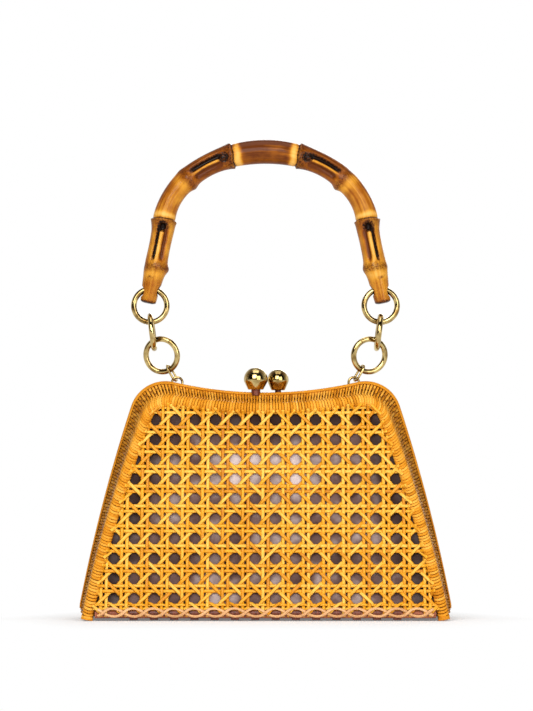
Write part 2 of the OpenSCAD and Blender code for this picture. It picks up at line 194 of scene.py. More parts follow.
@dataclass
class Patch:
    """Points and faces, with the values that the finishes read at each point.

    grain is (distance along, place across, tint), and shade runs from 0, open, to 1, deep: painted shade on
    the wicker and the lining, and scorching on the bamboo with painted shade in its bores. On the lining's
    front sheet the tint carries a painted highlight.
    """

    points: Array
    faces: list[Array]
    grain: Array
    shade: Array

    @staticmethod
    def joined(patches: list["Patch"]) -> "Patch":
        """Several patches as one.

        Args:
            patches: the patches, in the order of their points.

        Returns:
            The joined patch.
        """
        starts = np.cumsum([0] + [len(p.points) for p in patches[:-1]])
        return Patch(
            np.concatenate([p.points for p in patches]),
            [f + s for p, s in zip(patches, starts) for f in p.faces],
            np.concatenate([p.grain for p in patches]),
            np.concatenate([p.shade for p in patches]),
        )

    def scaled(self, x: float, y: float, z: float = 1.0) -> "Patch":
        """The patch with its axes times these signs, and its faces turned where that mirrors it."""
        faces = [f[:, ::-1] for f in self.faces] if x * y * z < 0 else self.faces
        return Patch(self.points * np.array([x, y, z]), faces, self.grain, self.shade)

    def outward(self) -> "Patch":
        """The patch with its faces turned outwards, by the sign of the volume that its quads enclose.

        Returns:
            A patch on the same points.
        """
        q = self.points[self.faces[0]]
        volume = np.einsum("ij,ij->", q[:, 0], np.cross(q[:, 1], q[:, 2]))
        volume += np.einsum("ij,ij->", q[:, 0], np.cross(q[:, 2], q[:, 3]))
        faces = [f[:, ::-1] for f in self.faces] if volume < 0 else self.faces
        return Patch(self.points, faces, self.grain, self.shade)

    def build(self, name: str, material: bpy.types.Material) -> bpy.types.Object:
        """The patch as an object at the origin.

        Args:
            name: the piece's name.
            material: its finish.

        Returns:
            The new object, linked to the scene.
        """
        loops = np.concatenate([f.ravel() for f in self.faces]).astype(np.int32)
        sizes = np.concatenate([np.full(len(f), f.shape[1]) for f in self.faces])
        starts = np.concatenate([[0], np.cumsum(sizes)[:-1]]).astype(np.int32)
        mesh = bpy.data.meshes.new(name)
        mesh.vertices.add(len(self.points))
        mesh.vertices.foreach_set("co", (self.points * MM).astype(np.float32).ravel())
        mesh.loops.add(len(loops))
        mesh.loops.foreach_set("vertex_index", loops)
        mesh.polygons.add(len(starts))
        mesh.polygons.foreach_set("loop_start", starts)
        mesh.polygons.foreach_set("use_smooth", np.ones(len(starts), bool))
        mesh.update(calc_edges=True)
        grain = mesh.attributes.new("grain", "FLOAT_VECTOR", "POINT")
        grain.data.foreach_set("vector", self.grain.astype(np.float32).ravel())
        shade = mesh.attributes.new("shade", "FLOAT", "POINT")
        shade.data.foreach_set("value", self.shade.astype(np.float32))
        mesh.materials.append(material)
        piece = bpy.data.objects.new(name, mesh)
        bpy.context.scene.collection.objects.link(piece)
        LOG.info("%s: %d triangles", name, int((sizes - 2).sum()))
        return piece


def oval(half_w: float, half_t: float, sides: int) -> Array:
    """Points round an oval: half width times cosine, half thickness times sine."""
    a = np.arange(sides) / sides * TAU
    return np.stack([half_w * np.cos(a), half_t * np.sin(a)], -1)


def swept(centre: Array, side: Array, up: Array, profile: Array, tint: Array,
          shade: Array | None = None) -> Patch:
    """Carries an oval along paths: point = path + across * side + thickness * up.

    Args:
        centre: (strands, rings, 3) points of the paths.
        side: (strands, rings, 3) unit vectors across.
        up: (strands, rings, 3) unit vectors through the thickness.
        profile: (sides, 2) oval, or (strands, rings, sides, 2) where it varies.
        tint: (strands,) tint of each strand, from 0 to 1.
        shade: (strands, rings) depth of painted shade along each strand.

    Returns:
        The strands as one patch.
    """
    count, rings = centre.shape[:2]
    sides = profile.shape[-2]
    profile = np.broadcast_to(profile, (count, rings, sides, 2))
    points = centre[:, :, None] + profile[..., :1] * side[:, :, None] + profile[..., 1:] * up[:, :, None]
    step = np.linalg.norm(np.diff(centre, axis=1), axis=-1)
    along = np.concatenate([np.zeros((count, 1)), np.cumsum(step, 1)], 1)
    across = np.cos(np.arange(sides) / sides * TAU)
    grain = np.stack(np.broadcast_arrays(
        along[:, :, None] + GRAIN_JUMP * tint[:, None, None], across, tint[:, None, None]), -1)
    deep = np.zeros((count, rings)) if shade is None else shade
    deep = np.broadcast_to(deep[:, :, None], (count, rings, sides))
    faces = tube_faces(count, rings, sides)
    return Patch(points.reshape(-1, 3), faces, grain.reshape(-1, 3), deep.ravel()).outward()


def swept_one(path: Array, side: Array, up: Array, profile: Array, tint: float, shade: float) -> Patch:
    """One strand of an even tint and shade, carried along a path as swept does.

    Args:
        path: (rings, 3) points.
        side, up: (rings, 3) unit vectors across and through the thickness.
        profile: (sides, 2) oval.
        tint, shade: the strand's tint and depth of painted shade.

    Returns:
        The strand.
    """
    even = np.full((1, len(path)), shade)
    return swept(path[None], side[None], up[None], profile, np.array([tint]), even)


def thicken(piece: bpy.types.Object, thick: float) -> None:
    """Gives a cloth piece its thickness, half of it to each side.

    Args:
        piece: a sheet's object.
        thick: its thickness.
    """
    cloth = piece.modifiers.new("cloth", "SOLIDIFY")
    cloth.thickness = thick * MM
    cloth.offset = 0.0


class Sketch:
    """A material's nodes, with short calls for the ones that the finishes share."""

    def __init__(self, name: str) -> None:
        """Starts a material whose surface is one principled shader.

        Args:
            name: the material's name.
        """
        self.material = bpy.data.materials.new(name)
        self.material.use_nodes = True
        self.tree = self.material.node_tree
        self.shader = self.tree.nodes["Principled BSDF"]

    def node(self, kind: str, **values: object) -> bpy.types.Node:
        """A new node.

        Args:
            kind: its type.
            values: its settings by name.

        Returns:
            The node.
        """
        made = self.tree.nodes.new(kind)
        for key, value in values.items():
            setattr(made, key, value)
        return made

    def feed(self, value: object, socket: Socket) -> None:
        """Links an output to a socket, or sets the socket where the value is plain.

        Args:
            value: an output, or a plain value.
            socket: the input that takes it.
        """
        if isinstance(value, Socket):
            self.tree.links.new(value, socket)
        else:
            socket.default_value = value

    def surface(self, **values: object) -> None:
        """Sets the shader's sockets, with underscores for spaces in their names."""
        for key, value in values.items():
            self.feed(value, self.shader.inputs[key.replace("_", " ")])

    def mapped(self, source: Socket, scale: Triple) -> Socket:
        """A vector scaled along each axis.

        Args:
            source: the vector.
            scale: the three scales.

        Returns:
            The scaled vector.
        """
        made = self.node("ShaderNodeMapping")
        self.feed(source, made.inputs["Vector"])
        made.inputs["Scale"].default_value = scale
        return made.outputs["Vector"]

    def grain(self, scale: Triple) -> Socket:
        """The piece's own grain attribute, scaled along, across and by tint."""
        source = self.node("ShaderNodeAttribute", attribute_name="grain")
        return self.mapped(source.outputs["Vector"], scale)

    def place(self, scale: Triple) -> Socket:
        """Object coordinates in metres, scaled along each axis."""
        return self.mapped(self.node("ShaderNodeTexCoord").outputs["Object"], scale)

    def part(self, axis: str) -> Socket:
        """One number of the grain attribute.

        Args:
            axis: X for the distance along, Y for the place across, Z for the tint.

        Returns:
            The number.
        """
        source = self.node("ShaderNodeAttribute", attribute_name="grain")
        split = self.node("ShaderNodeSeparateXYZ")
        self.feed(source.outputs["Vector"], split.inputs[0])
        return split.outputs[axis]

    def shade(self) -> Socket:
        """The piece's own shade attribute."""
        return self.node("ShaderNodeAttribute", attribute_name="shade").outputs["Fac"]

    def noise(self, vector: Socket, detail: float) -> Socket:
        """Smooth noise from 0 to 1.

        Args:
            vector: its place, in units of the noise.
            detail: how many finer layers it has.

        Returns:
            The noise.
        """
        made = self.node("ShaderNodeTexNoise")
        self.feed(vector, made.inputs["Vector"])
        made.inputs["Scale"].default_value = 1.0
        made.inputs["Detail"].default_value = detail
        return made.outputs["Fac"]

    def math(self, operation: str, a: object, b: object = 0.0) -> Socket:
        """One operation on numbers.

        Args:
            operation: its name.
            a, b: the numbers; an operation on one number leaves b out.

        Returns:
            The result.
        """
        made = self.node("ShaderNodeMath", operation=operation)
        self.feed(a, made.inputs[0])
        self.feed(b, made.inputs[1])
        return made.outputs[0]

    def blend(self, a: Socket, a_share: float, b: Socket, b_share: float) -> Socket:
        """Two numbers times their shares, added."""
        return self.math("ADD", self.math("MULTIPLY", a, a_share), self.math("MULTIPLY", b, b_share))

    def span(self, value: object, low: float, high: float,
             to_low: float = 0.0, to_high: float = 1.0) -> Socket:
        """Maps a number from one span to another and holds it there.

        Args:
            value: the number.
            low, high: the span that it comes from.
            to_low, to_high: the span that it goes to.

        Returns:
            The mapped number.
        """
        made = self.node("ShaderNodeMapRange")
        for socket, part in zip(made.inputs, (value, low, high, to_low, to_high)):
            self.feed(part, socket)
        return made.outputs[0]

    def ramp(self, value: object, stops: list[tuple[float, str]]) -> Socket:
        """A colour from a number.

        Args:
            value: the number.
            stops: places and their colour codes.

        Returns:
            The colour.
        """
        made = self.node("ShaderNodeValToRGB")
        self.feed(value, made.inputs[0])
        band = made.color_ramp.elements
        while len(band) < len(stops):
            band.new(1.0)
        for element, (at, code) in zip(band, stops):
            element.position = at
            element.color = srgb(code)
        return made.outputs["Color"]

    def mix(self, factor: object, a: object, b: object) -> Socket:
        """A mix of two colours.

        Args:
            factor: 0 for the first colour, 1 for the second.
            a, b: the colours.

        Returns:
            The mixed colour.
        """
        made = self.node("ShaderNodeMix", data_type="RGBA")
        self.feed(factor, made.inputs[0])
        self.feed(a, made.inputs[6])
        self.feed(b, made.inputs[7])
        return made.outputs[2]

    def bump(self, height: object, strength: float, distance: float) -> None:
        """Bump on the shader.

        Args:
            height: the height, from 0 to 1.
            strength: share of the bump that shows.
            distance: what a height of 1 stands for, in metres.
        """
        made = self.node("ShaderNodeBump")
        made.inputs["Strength"].default_value = strength
        made.inputs["Distance"].default_value = distance
        self.feed(height, made.inputs["Height"])
        self.feed(made.outputs["Normal"], self.shader.inputs["Normal"])


@dataclass(frozen=True)
class StrandFinish:
    """Varnished cane or reed: tone by strand and by noise along it, fine fibres, darker edges, and painted
    shade by the shade attribute.
    """

    name: str
    deep: str
    middle: str
    pale: str
    painted_shade_colour: str
    roughness: float = 0.36
    coat: float = 0.25
    shine: float = 0.25

    def material(self) -> bpy.types.Material:
        """The finish as a material on the grain and shade attributes.

        Returns:
            The material.
        """
        s = Sketch(self.name)
        blotch = s.noise(s.grain((0.05, 0.35, 31.0)), 3.0)
        fibre = s.noise(s.grain((0.035, 5.0, 17.0)), 4.0)
        tone = s.blend(s.part("Z"), 0.42, blotch, 0.55)
        tone = s.math("ADD", tone, s.math("MULTIPLY", s.math("SUBTRACT", fibre, 0.5), 0.5))
        colour = s.ramp(tone, [(0.12, self.deep), (0.45, self.middle), (0.82, self.pale)])
        edge = s.span(s.math("ABSOLUTE", s.part("Y")), 0.72, 1.0, 0.0, 0.45)
        colour = s.mix(edge, colour, srgb(self.deep))
        # Painted shade: the colour sinks towards a dark brown as the shade attribute rises.
        colour = s.mix(s.shade(), colour, srgb(self.painted_shade_colour))
        s.surface(Base_Color=colour, Specular_IOR_Level=self.shine)
        s.surface(Coat_Weight=self.coat, Coat_Roughness=0.22)
        s.surface(Roughness=s.span(fibre, 0.3, 0.7, self.roughness - 0.06, self.roughness + 0.14))
        s.bump(fibre, 0.25, 0.0003)
        return s.material


@dataclass(frozen=True)
class TurnedFinish:
    """Varnished stick on object coordinates: long streaks along one axis and soft blotches."""

    name: str
    deep: str
    middle: str
    pale: str
    streaks: Triple
    roughness: float = 0.4

    def material(self) -> bpy.types.Material:
        """The finish as a material on object coordinates.

        Returns:
            The material.
        """
        s = Sketch(self.name)
        streak = s.noise(s.place(self.streaks), 4.0)
        blotch = s.noise(s.place((90.0, 90.0, 90.0)), 2.0)
        tone = s.blend(streak, 0.65, blotch, 0.35)
        s.surface(Base_Color=s.ramp(tone, [(0.3, self.deep), (0.5, self.middle), (0.72, self.pale)]))
        s.surface(Roughness=s.span(streak, 0.3, 0.7, self.roughness - 0.08, self.roughness + 0.12))
        s.surface(Coat_Weight=0.06, Coat_Roughness=0.25, Specular_IOR_Level=0.25)
        s.bump(streak, 0.3, 0.0003)
        return s.material


@dataclass(frozen=True)
class SatinFinish:
    """Lining cloth: a fine plain weave with a soft satin sheen, paler with a painted highlight where its
    tint says, and darker with painted shade where its shade says.
    """

    name: str
    deep: str
    middle: str
    pale: str
    painted_shade_colour: str

    def material(self) -> bpy.types.Material:
        """The finish as a material on object coordinates and the shade attribute.

        Returns:
            The material.
        """
        s = Sketch(self.name)
        blotch = s.noise(s.place((45.0, 45.0, 60.0)), 3.0)
        # The tint adds the painted satin highlight of the front sheet.
        tone = s.math("ADD", blotch, s.math("MULTIPLY", s.part("Z"), 0.5))
        colour = s.ramp(tone, [(0.25, self.deep), (0.5, self.middle), (0.85, self.pale)])
        # Painted shade: towards a dark brown as the shade attribute rises.
        colour = s.mix(s.shade(), colour, srgb(self.painted_shade_colour))
        thread = s.noise(s.place((2600.0, 2600.0, 900.0)), 1.0)
        s.surface(Base_Color=colour, Roughness=s.span(thread, 0.3, 0.7, 0.34, 0.5))
        s.surface(Sheen_Weight=0.03, Sheen_Roughness=0.4, Specular_IOR_Level=0.07)
        s.bump(thread, 0.3, 0.0002)
        return s.material


@dataclass(frozen=True)
class BrassFinish:
    """Polished pale brass with soft wear and fine scratches in its roughness."""

    name: str
    deep: str
    bright: str
    roughness: float = 0.1

    def material(self) -> bpy.types.Material:
        """The finish as a material on object coordinates.

        Returns:
            The material.
        """
        s = Sketch(self.name)
        wear = s.noise(s.place((160.0, 160.0, 160.0)), 4.0)
        scratch = s.noise(s.place((700.0, 900.0, 2600.0)), 3.0)
        s.surface(Base_Color=s.ramp(wear, [(0.3, self.deep), (0.62, self.bright)]), Metallic=1.0)
        s.surface(Roughness=s.span(scratch, 0.35, 0.75, self.roughness - 0.04, self.roughness + 0.1))
        s.bump(scratch, 0.05, 0.0001)
        return s.material


@dataclass(frozen=True)
class BambooFinish:
    """Lacquered bamboo: long streaks, scorched nodes and slots, painted shade in the bores, pale skin
    beside the nodes.
    """

    name: str
    scorch: str = "#1A0C06"
    brown: str = "#5E2C0A"
    amber: str = "#9A5614"
    honey: str = "#CF8E2C"
    pale: str = "#E8B35A"

    def material(self) -> bpy.types.Material:
        """The finish as a material: grain carries the pale bands in Z, and shade the scorching and the
        painted shade of the bores.

        Returns:
            The material.
        """
        s = Sketch(self.name)
        streak = s.noise(s.grain((0.03, 1.0, 0.0)), 5.0)
        round_about = s.noise(s.place((75.0, 75.0, 75.0)), 4.0)
        fleck = s.noise(s.place((900.0, 900.0, 900.0)), 3.0)
        tone = s.blend(streak, 0.5, round_about, 0.55)
        tone = s.math("ADD", tone, s.math("MULTIPLY", s.part("Z"), 0.38))
        stops = [(0.25, self.brown), (0.45, self.amber), (0.66, self.honey), (0.95, self.pale)]
        colour = s.ramp(tone, stops)
        darkening = s.math("MULTIPLY", s.shade(), s.span(fleck, 0.38, 0.64, 0.62, 1.4))
        darkening = s.math("ADD", darkening, s.span(fleck, 0.66, 0.76, 0.0, 0.25))
        colour = s.mix(s.span(darkening, 0.1, 0.5, 0.0, 0.8), colour, srgb(self.brown))
        colour = s.mix(s.span(darkening, 0.5, 0.95), colour, srgb(self.scorch))
        s.surface(Base_Color=colour, Coat_Weight=0.14, Coat_Roughness=0.06, Specular_IOR_Level=0.05)
        s.surface(Roughness=s.span(streak, 0.3, 0.7, 0.24, 0.4))
        s.bump(s.blend(streak, 0.6, fleck, 0.4), 0.22, 0.0005)
        return s.material


class Finishes:
    """Every finish of the bag, made once."""

    def __init__(self) -> None:
        """Makes the materials."""
        # The last colour of each strand finish is the dark brown of its painted shade.
        self.cane = StrandFinish(
            "cane", "#B86A06", "#ECA31A", "#F7C858", "#6A3A10", 0.4, 0.05).material()
        self.tan = StrandFinish(
            "cane_tan", "#B98252", "#E6B079", "#F2CFA2", "#6A3A10", 0.42, 0.04).material()
        self.reed = StrandFinish(
            "reed", "#A65C0C", "#E29422", "#F3B54C", "#562A08", 0.44, 0.02, 0.06).material()
        # The cores show only between the wefts, so their colours are darker than the reed's as painted
        # shade.
        self.core = StrandFinish(
            "reed_core", "#6A380A", "#96581A", "#B8782A", "#3E200A", 0.6, 0.0, 0.03).material()
        self.stick = TurnedFinish(
            "dark_stick", "#703520", "#A25C40", "#C8845F", (25.0, 900.0, 900.0)).material()
        self.base = TurnedFinish(
            "reed_mat", "#8F4F10", "#C07A22", "#DDA048", (12.0, 420.0, 420.0)).material()
        self.stem = TurnedFinish(
            "stem", "#3C170D", "#6A3220", "#8E523C", (700.0, 700.0, 60.0), 0.3).material()
        # The lining's last colour is the dark brown of its painted shade; its pale colour shows mostly in
        # the painted highlight.
        self.lining = SatinFinish("lining", "#452A24", "#6E544E", "#CDBCB8", "#241009").material()
        self.brass = BrassFinish("brass", "#7A5C2C", "#D2B97C").material()
        self.bamboo = BambooFinish("bamboo").material()


@dataclass(frozen=True)
class Outline:
    """Outline of a half, from its right foot at t = 0 over the top at t = 3 to its left foot at t = 6."""

    half_base: float
    height: float
    half_shoulder: float
    corner_r: float
    dip: float
    lean: float

    def points(self, t: Array, inset: float = 0.0) -> Array:
        """Places on the outline.

        A side is a quadratic curve from the foot to the corner's tangent, a corner is a circle's
        arc, and half of the top is an arc that sinks to the middle. Each takes one unit of t.

        Args:
            t: places along it, of any shape.
            inset: how far inside the outline.

        Returns:
            (..., 2) points across and up.
        """
        left = t > MID_T
        s = np.where(left, END_T - t, t)
        turn = 2 * math.atan(self.dip / self.half_shoulder)
        lean = math.radians(self.lean)
        centre = np.array([self.half_shoulder, self.height - self.corner_r])
        dip_r = self.half_shoulder / math.sin(turn) - self.corner_r
        top = centre + self.corner_r * np.array([math.cos(lean), math.sin(lean)])
        pull = np.array([top[0] + math.tan(lean) * top[1] / 2, top[1] / 2])
        foot = np.array([self.half_base, 0.0])
        q = np.minimum(s, 1.0)[..., None]
        side = (1 - q) ** 2 * foot + 2 * q * (1 - q) * pull + q ** 2 * top
        way = unit((1 - q) * (pull - foot) + q * (top - pull))
        side = side - inset * np.stack([way[..., 1], -way[..., 0]], -1)
        a = lean + (math.pi / 2 + turn - lean) * np.clip(s - 1, 0, 1)
        corner = centre + (self.corner_r - inset) * np.stack([np.cos(a), np.sin(a)], -1)
        b = turn * (1 - np.clip(s - 2, 0, 1))
        crown = np.stack([(dip_r + inset) * np.sin(b),
                          self.height - self.dip + dip_r - (dip_r + inset) * np.cos(b)], -1)
        s = s[..., None]
        right = np.where(s <= 1, side, np.where(s <= 2, corner, crown))
        return right * np.stack([np.where(left, -1.0, 1.0), np.ones_like(t)], -1)

    def tops(self, inset: float) -> tuple[Array, Array]:
        """The right half of the outline as rising distances from the middle and their heights."""
        p = self.points(np.linspace(MID_T, 0, 900), inset)
        return p[:, 0], p[:, 1]


@dataclass(frozen=True)
class HalfShell:
    """Where a half's rim, border roll and panel plane lie, drawn for the front half."""

    rim: Outline = Outline(128.5, 162.8, 70.0, 22.0, 8.0, 18.0)
    border_h: float = 152.0
    rod_y: float = -41.0
    rod_z: float = 5.0
    top_y: float = -16.0
    rim_y: float = -3.0
    foot_shift: float = 0.032
    foot_reach: float = 0.3
    tuck_in: float = 3.2
    tuck_h: float = 11.0

    @property
    def lean(self) -> float:
        """Lean of the panel from the vertical, in radians."""
        return math.atan((self.top_y - self.rod_y) / (self.border_h - self.rod_z))

    @property
    def border(self) -> Outline:
        """The border roll's centre line in the panel's plane."""
        return Outline(121.7, (self.border_h - self.rod_z) / math.cos(self.lean), 66.0, 18.0, 5.5, 20.0)

    def panel_point(self, u: Array, v: Array, n: Array) -> Array:
        """Places in or off the panel's plane.

        Args:
            u, v, n: distances across, up from the rod and outwards.

        Returns:
            (..., 3) points in the part's frame.
        """
        c, s = math.cos(self.lean), math.sin(self.lean)
        y, z = self.rod_y + v * s - n * c, self.rod_z + v * c + n * s
        return np.stack(np.broadcast_arrays(u, y, z), -1)

    def border_at(self, t: Array) -> Array:
        """The border roll's centre line in the part's frame."""
        p = self.border.points(t)
        return self.panel_point(p[..., 0], p[..., 1], np.zeros_like(t))

    def rim_at(self, t: Array) -> Array:
        """The rim coil's centre line, drawn up along itself and tucked inwards near its lower ends.

        Args:
            t: places along the outline.

        Returns:
            (..., 3) points in the part's frame.
        """
        near = np.minimum(t, END_T - t)
        shift = self.foot_shift * np.maximum(0.0, 1 - near / self.foot_reach) ** 2
        p = self.rim.points(np.where(t > MID_T, t - shift, t + shift))
        tuck = self.tuck_in * np.clip(1 - p[..., 1] / self.tuck_h, 0, 1) ** 2
        return np.stack([p[..., 0] - np.sign(p[..., 0]) * tuck, np.full_like(t, self.rim_y), p[..., 1]], -1)

    def frames(self, t: Array) -> tuple[Array, Array, Array, Array, Array]:
        """The wall's own axes at places along it.

        Args:
            t: places along the outline.

        Returns:
            The border point, the unit vector to the rim, the unit vector outwards, the unit vector
            along, and the wall's width.
        """
        border, rim = self.border_at(t), self.rim_at(t)
        step, flat = 2e-3, [1, 0, 1]
        along = unit(self.border_at(t + step) + self.rim.points(t + step)[..., [0, 0, 1]] * flat
                     - self.border_at(t - step) - self.rim.points(t - step)[..., [0, 0, 1]] * flat)
        across = rim - border
        e = unit(across)
        out = unit(np.cross(e, along))
        return border, e, out, along, np.linalg.norm(across, axis=-1)

    def even(self, pitch: float, low: float, high: float) -> Array:
        """Places that lie evenly along the middle of the wall.

        Args:
            pitch: the distance from one to the next.
            low, high: the first and the last of them.

        Returns:
            The places, as values of t.
        """
        t = np.linspace(low, high, 4000)
        p = (self.border_at(t) + self.rim_at(t)) / 2
        run = np.concatenate([[0], np.cumsum(np.linalg.norm(np.diff(p, axis=0), axis=-1))])
        return np.interp(np.linspace(0, run[-1], int(run[-1] / pitch)), run, t)


@dataclass
class WickerWall:
    """A half's wicker wall: a border roll, ribs and a rim coil, bound by wefts that cross them.

    A flat strand lies along the rim coil, and twined strands hem the wall's feet. Names that end in
    _t, apart from weft_t, are places or lengths along the outline.
    """

    side: Side
    shell: HalfShell
    finishes: Finishes
    roll_r: float = 3.35
    rim_r: float = 1.6
    rim_shift: float = 0.5
    rib_r: float = 1.2
    rib_out: float = 0.5
    ribs: int = 3
    core_step: float = 2.6
    # Painted shade on the cores, which lie under the wefts.
    core_shade: float = 0.25
    foot_t: float = -0.014
    roll_foot_t: float = -0.03
    pitch: float = 2.02
    jitter_t: float = 0.0006
    weft_w: float = 0.99
    weft_t: float = 0.42
    weft_scales: tuple[float, float] = (0.9, 1.08)
    lap_deg: float = 38.0
    roll_from_deg: float = 215.0
    rim_to_deg: float = -205.0
    over_top: Fade = Fade(1.8, -0.5)
    straight: float = 0.3
    wave_in: float = 0.22
    wave_out: float = 0.2
    wave_side: float = 0.6
    wave_less_on_top: float = 0.4
    slant: float = 0.42
    slant_fade_t: float = 0.8
    slant_held: tuple[float, float] = (-4.0, 5.0)
    slant_room_t: float = 0.12
    thin: float = 0.24
    thin_side: float = 0.5
    thin_more_on_top: float = 1.1
    thin_reach: float = 0.3
    # Fades and shares of the wefts' painted shade: inside the roll and the rim coil, where a weft dips
    # under a rib, and outwards on the bag's sides, which face away from the lamps.
    roll_inside: Fade = Fade(120.0, 60.0)
    rim_inside: Fade = Fade(-110.0, -60.0)
    sunk: Fade = Fade(1.2, -1.6)
    down_side: Fade = Fade(1.4, 0.9)
    to_rim: Fade = Fade(-3.2, 9.0)
    inside_shade: float = 0.8
    sunk_shade: float = 0.12
    side_shade: float = 0.5
    binding: tuple[float, float] = (1.7, 0.55)
    binding_step: float = 1.6
    binding_foot_t: float = 0.02
    binding_lift: float = 0.1
    binding_tint: float = 0.35
    binding_shade: float = 0.12
    hem_r: float = 0.8
    hem_z: float = 2.3
    hem_rise: float = 0.75
    hem_half_turn: float = 3.2
    hem_tint: float = 0.5
    hem_tint_step: float = 0.1
    hem_shade: float = 0.3
    loops_t: tuple[float, float] = (-0.0255, -0.0195)
    loop_w: float = 0.9
    loop_tints: tuple[float, float] = (0.2, 0.9)

    def cores(self) -> Patch:
        """Round cores carried along the wall, at the roll, at each rib and at the rim, with painted shade,
        as they lie under the wefts.

        Returns:
            The cores.
        """
        shell, made = self.shell, []
        places = [(0.0, 0.0, self.roll_r, self.roll_foot_t, 14)]
        for k in range(1, self.ribs + 1):
            places.append((k / (self.ribs + 1), self.rib_out, self.rib_r, self.foot_t, 8))
        places.append((1.0, 0.0, self.rim_r, self.foot_t, 12))
        for share, out_by, radius, start, sides in places:
            t = shell.even(self.core_step, start, END_T - start)
            border, e, out, _, width = shell.frames(t)
            path = border + e * (share * (width + self.rim_shift))[:, None] + out * out_by
            along = unit(np.gradient(path, axis=0))
            up = unit(np.cross(e, along))
            round_core = oval(radius, radius, sides)
            made.append(swept_one(path, unit(np.cross(along, up)), up, round_core, share, self.core_shade))
        return Patch.joined(made)

    def moved(self, t: Array, rise: Array) -> Array:
        """Places along the outline, moved by lengths along the border roll.

        Args:
            t: the places.
            rise: (places, ...) lengths.

        Returns:
            The moved places, of the shape of rise.
        """
        line = np.linspace(-self.slant_room_t, END_T + self.slant_room_t, 2400)
        steps = np.linalg.norm(np.diff(self.shell.border_at(line), axis=0), axis=-1)
        length = np.concatenate([[0.0], np.cumsum(steps)])
        return np.interp(np.interp(t, line, length)[:, None] + rise, length, line)

    def wefts(self) -> Patch:
        """Flat strands across the wall.

        A weft starts inside the roll, goes round it, passes over and under the ribs as a cosine
        wave whose sign changes from weft to weft, and goes round the rim coil to the inside. It
        slants along the roll by a share of its place across and thins in the middle of the wall.
        Painted shade darkens it inside the roll and the rim coil, where it dips under the ribs, and
        outwards on the sides of the bag, which face away from the lamps. Next to the roll and over
        the top it runs nearly straight.

        Returns:
            The wefts.
        """
        shell = self.shell
        rng = np.random.default_rng(11 if self.side is Side.FRONT else 12)
        t = shell.even(self.pitch, self.foot_t, END_T - self.foot_t)
        t = t + rng.normal(0, self.jitter_t, len(t))
        from_top = np.abs(t - MID_T)
        parity = np.where(np.arange(len(t)) % 2, 1.0, -1.0)[:, None]
        width = shell.frames(t)[4][:, None] + self.rim_shift
        big, small = self.roll_r + self.weft_t, self.rim_r + self.weft_t
        lap = math.radians(self.lap_deg)
        a = np.radians(np.linspace(self.roll_from_deg, -self.lap_deg, 16))
        c = np.radians(np.linspace(self.lap_deg, self.rim_to_deg, 15))
        f = np.linspace(0, 1, 22)[1:-1]
        b_from, b_to = big * math.sin(lap), width - small * math.sin(lap)
        mid_e = b_from + f * (b_to - b_from)
        plain = (1 - f) * big * math.cos(lap) + f * small * math.cos(lap)
        wave = self.rib_out + (self.rib_r + self.weft_t) * parity * np.cos(
            math.pi * ((self.ribs + 1) * mid_e / width - 1))
        over = self.over_top.at(from_top)[:, None]
        window = smooth((f - self.straight * (1 - over)) / self.wave_in) * smooth((1 - f) / self.wave_out)
        window = window * (self.wave_side - self.wave_less_on_top * over)
        ones = np.ones_like(width)
        qe = np.concatenate([ones * -big * np.sin(a), mid_e, width - small * np.sin(c)], 1)
        qo = np.concatenate([ones * big * np.cos(a), plain * (1 - window) + wave * window,
                             ones * small * np.cos(c)], 1)
        way = np.clip((MID_T - t) / self.slant_fade_t, -1, 1)[:, None]
        rise = way * self.slant * np.clip(qe, *self.slant_held)
        border, e, out, along, _ = shell.frames(self.moved(t, rise))
        path = border + qe[..., None] * e + qo[..., None] * out
        path[..., 2] = np.maximum(path[..., 2], self.weft_w)
        run = unit(np.gradient(path, axis=1))
        across = squared(along, run)
        thinned = np.concatenate([0 * a, bell(f - 0.5, self.thin_reach), 0 * c])
        waist = 1 - self.thin * (self.thin_side + self.thin_more_on_top * over) * thinned
        profile = oval(self.weft_w, self.weft_t, 6) * rng.uniform(*self.weft_scales, (len(t), 1, 1, 1))
        profile = profile * waist[..., None, None]
        # Painted shade: darker inside the roll and the rim coil, in the dips under the ribs, and outwards
        # on the sides of the bag.
        inside = np.concatenate([self.roll_inside.at(np.degrees(a)), np.zeros_like(f),
                                 self.rim_inside.at(np.degrees(c))])
        dip = self.sunk.at(qo) * np.concatenate([0 * a, np.ones_like(f), 0 * c])
        aside = self.down_side.at(from_top)[:, None] * self.to_rim.at(qe)
        shade = self.inside_shade * inside + self.sunk_shade * dip + self.side_shade * aside
        tint = rng.uniform(0.1, 1.0, len(t))
        return swept(path, across, np.cross(run, across), profile, tint, np.clip(shade, 0, 1))

    def bindings(self) -> Patch:
        """A flat strand laid along the rim coil, a little darker, and a pair of strands twined across each
        foot, in painted shade.

        The twined strands are a helix: out and up are a cosine and a sine of the place across.

        Returns:
            The strands.
        """
        shell = self.shell
        t = shell.even(self.binding_step, self.binding_foot_t, END_T - self.binding_foot_t)
        border, e, out, _, width = shell.frames(t)
        top = self.rim_r + 2 * self.weft_t + self.binding_lift
        path = border + e * (width + self.rim_shift)[:, None] + out * top
        flat = oval(*self.binding, 8)
        made = [swept_one(path, e, out, flat, self.binding_tint, self.binding_shade)]
        share = np.linspace(0, 1, 90)
        for start in (self.foot_t, END_T - self.foot_t):
            border, e, out, _, width = shell.frames(np.full(len(share), start))
            for phase in (0.0, math.pi):
                turn = share * width / self.hem_half_turn * math.pi + phase
                path = border + e * (share * width)[:, None] + out * (self.rib_out + np.cos(turn))[:, None]
                path[:, 2] = self.hem_z + self.hem_rise * np.sin(turn)
                run = unit(np.gradient(path, axis=0))
                side = unit(np.cross(run, out))
                # Painted shade on the twined strands at the feet, near the floor.
                made.append(swept_one(path, side, np.cross(run, side), oval(self.hem_r, self.hem_r, 8),
                                      self.hem_tint + self.hem_tint_step * phase, self.hem_shade))
        return Patch.joined(made)

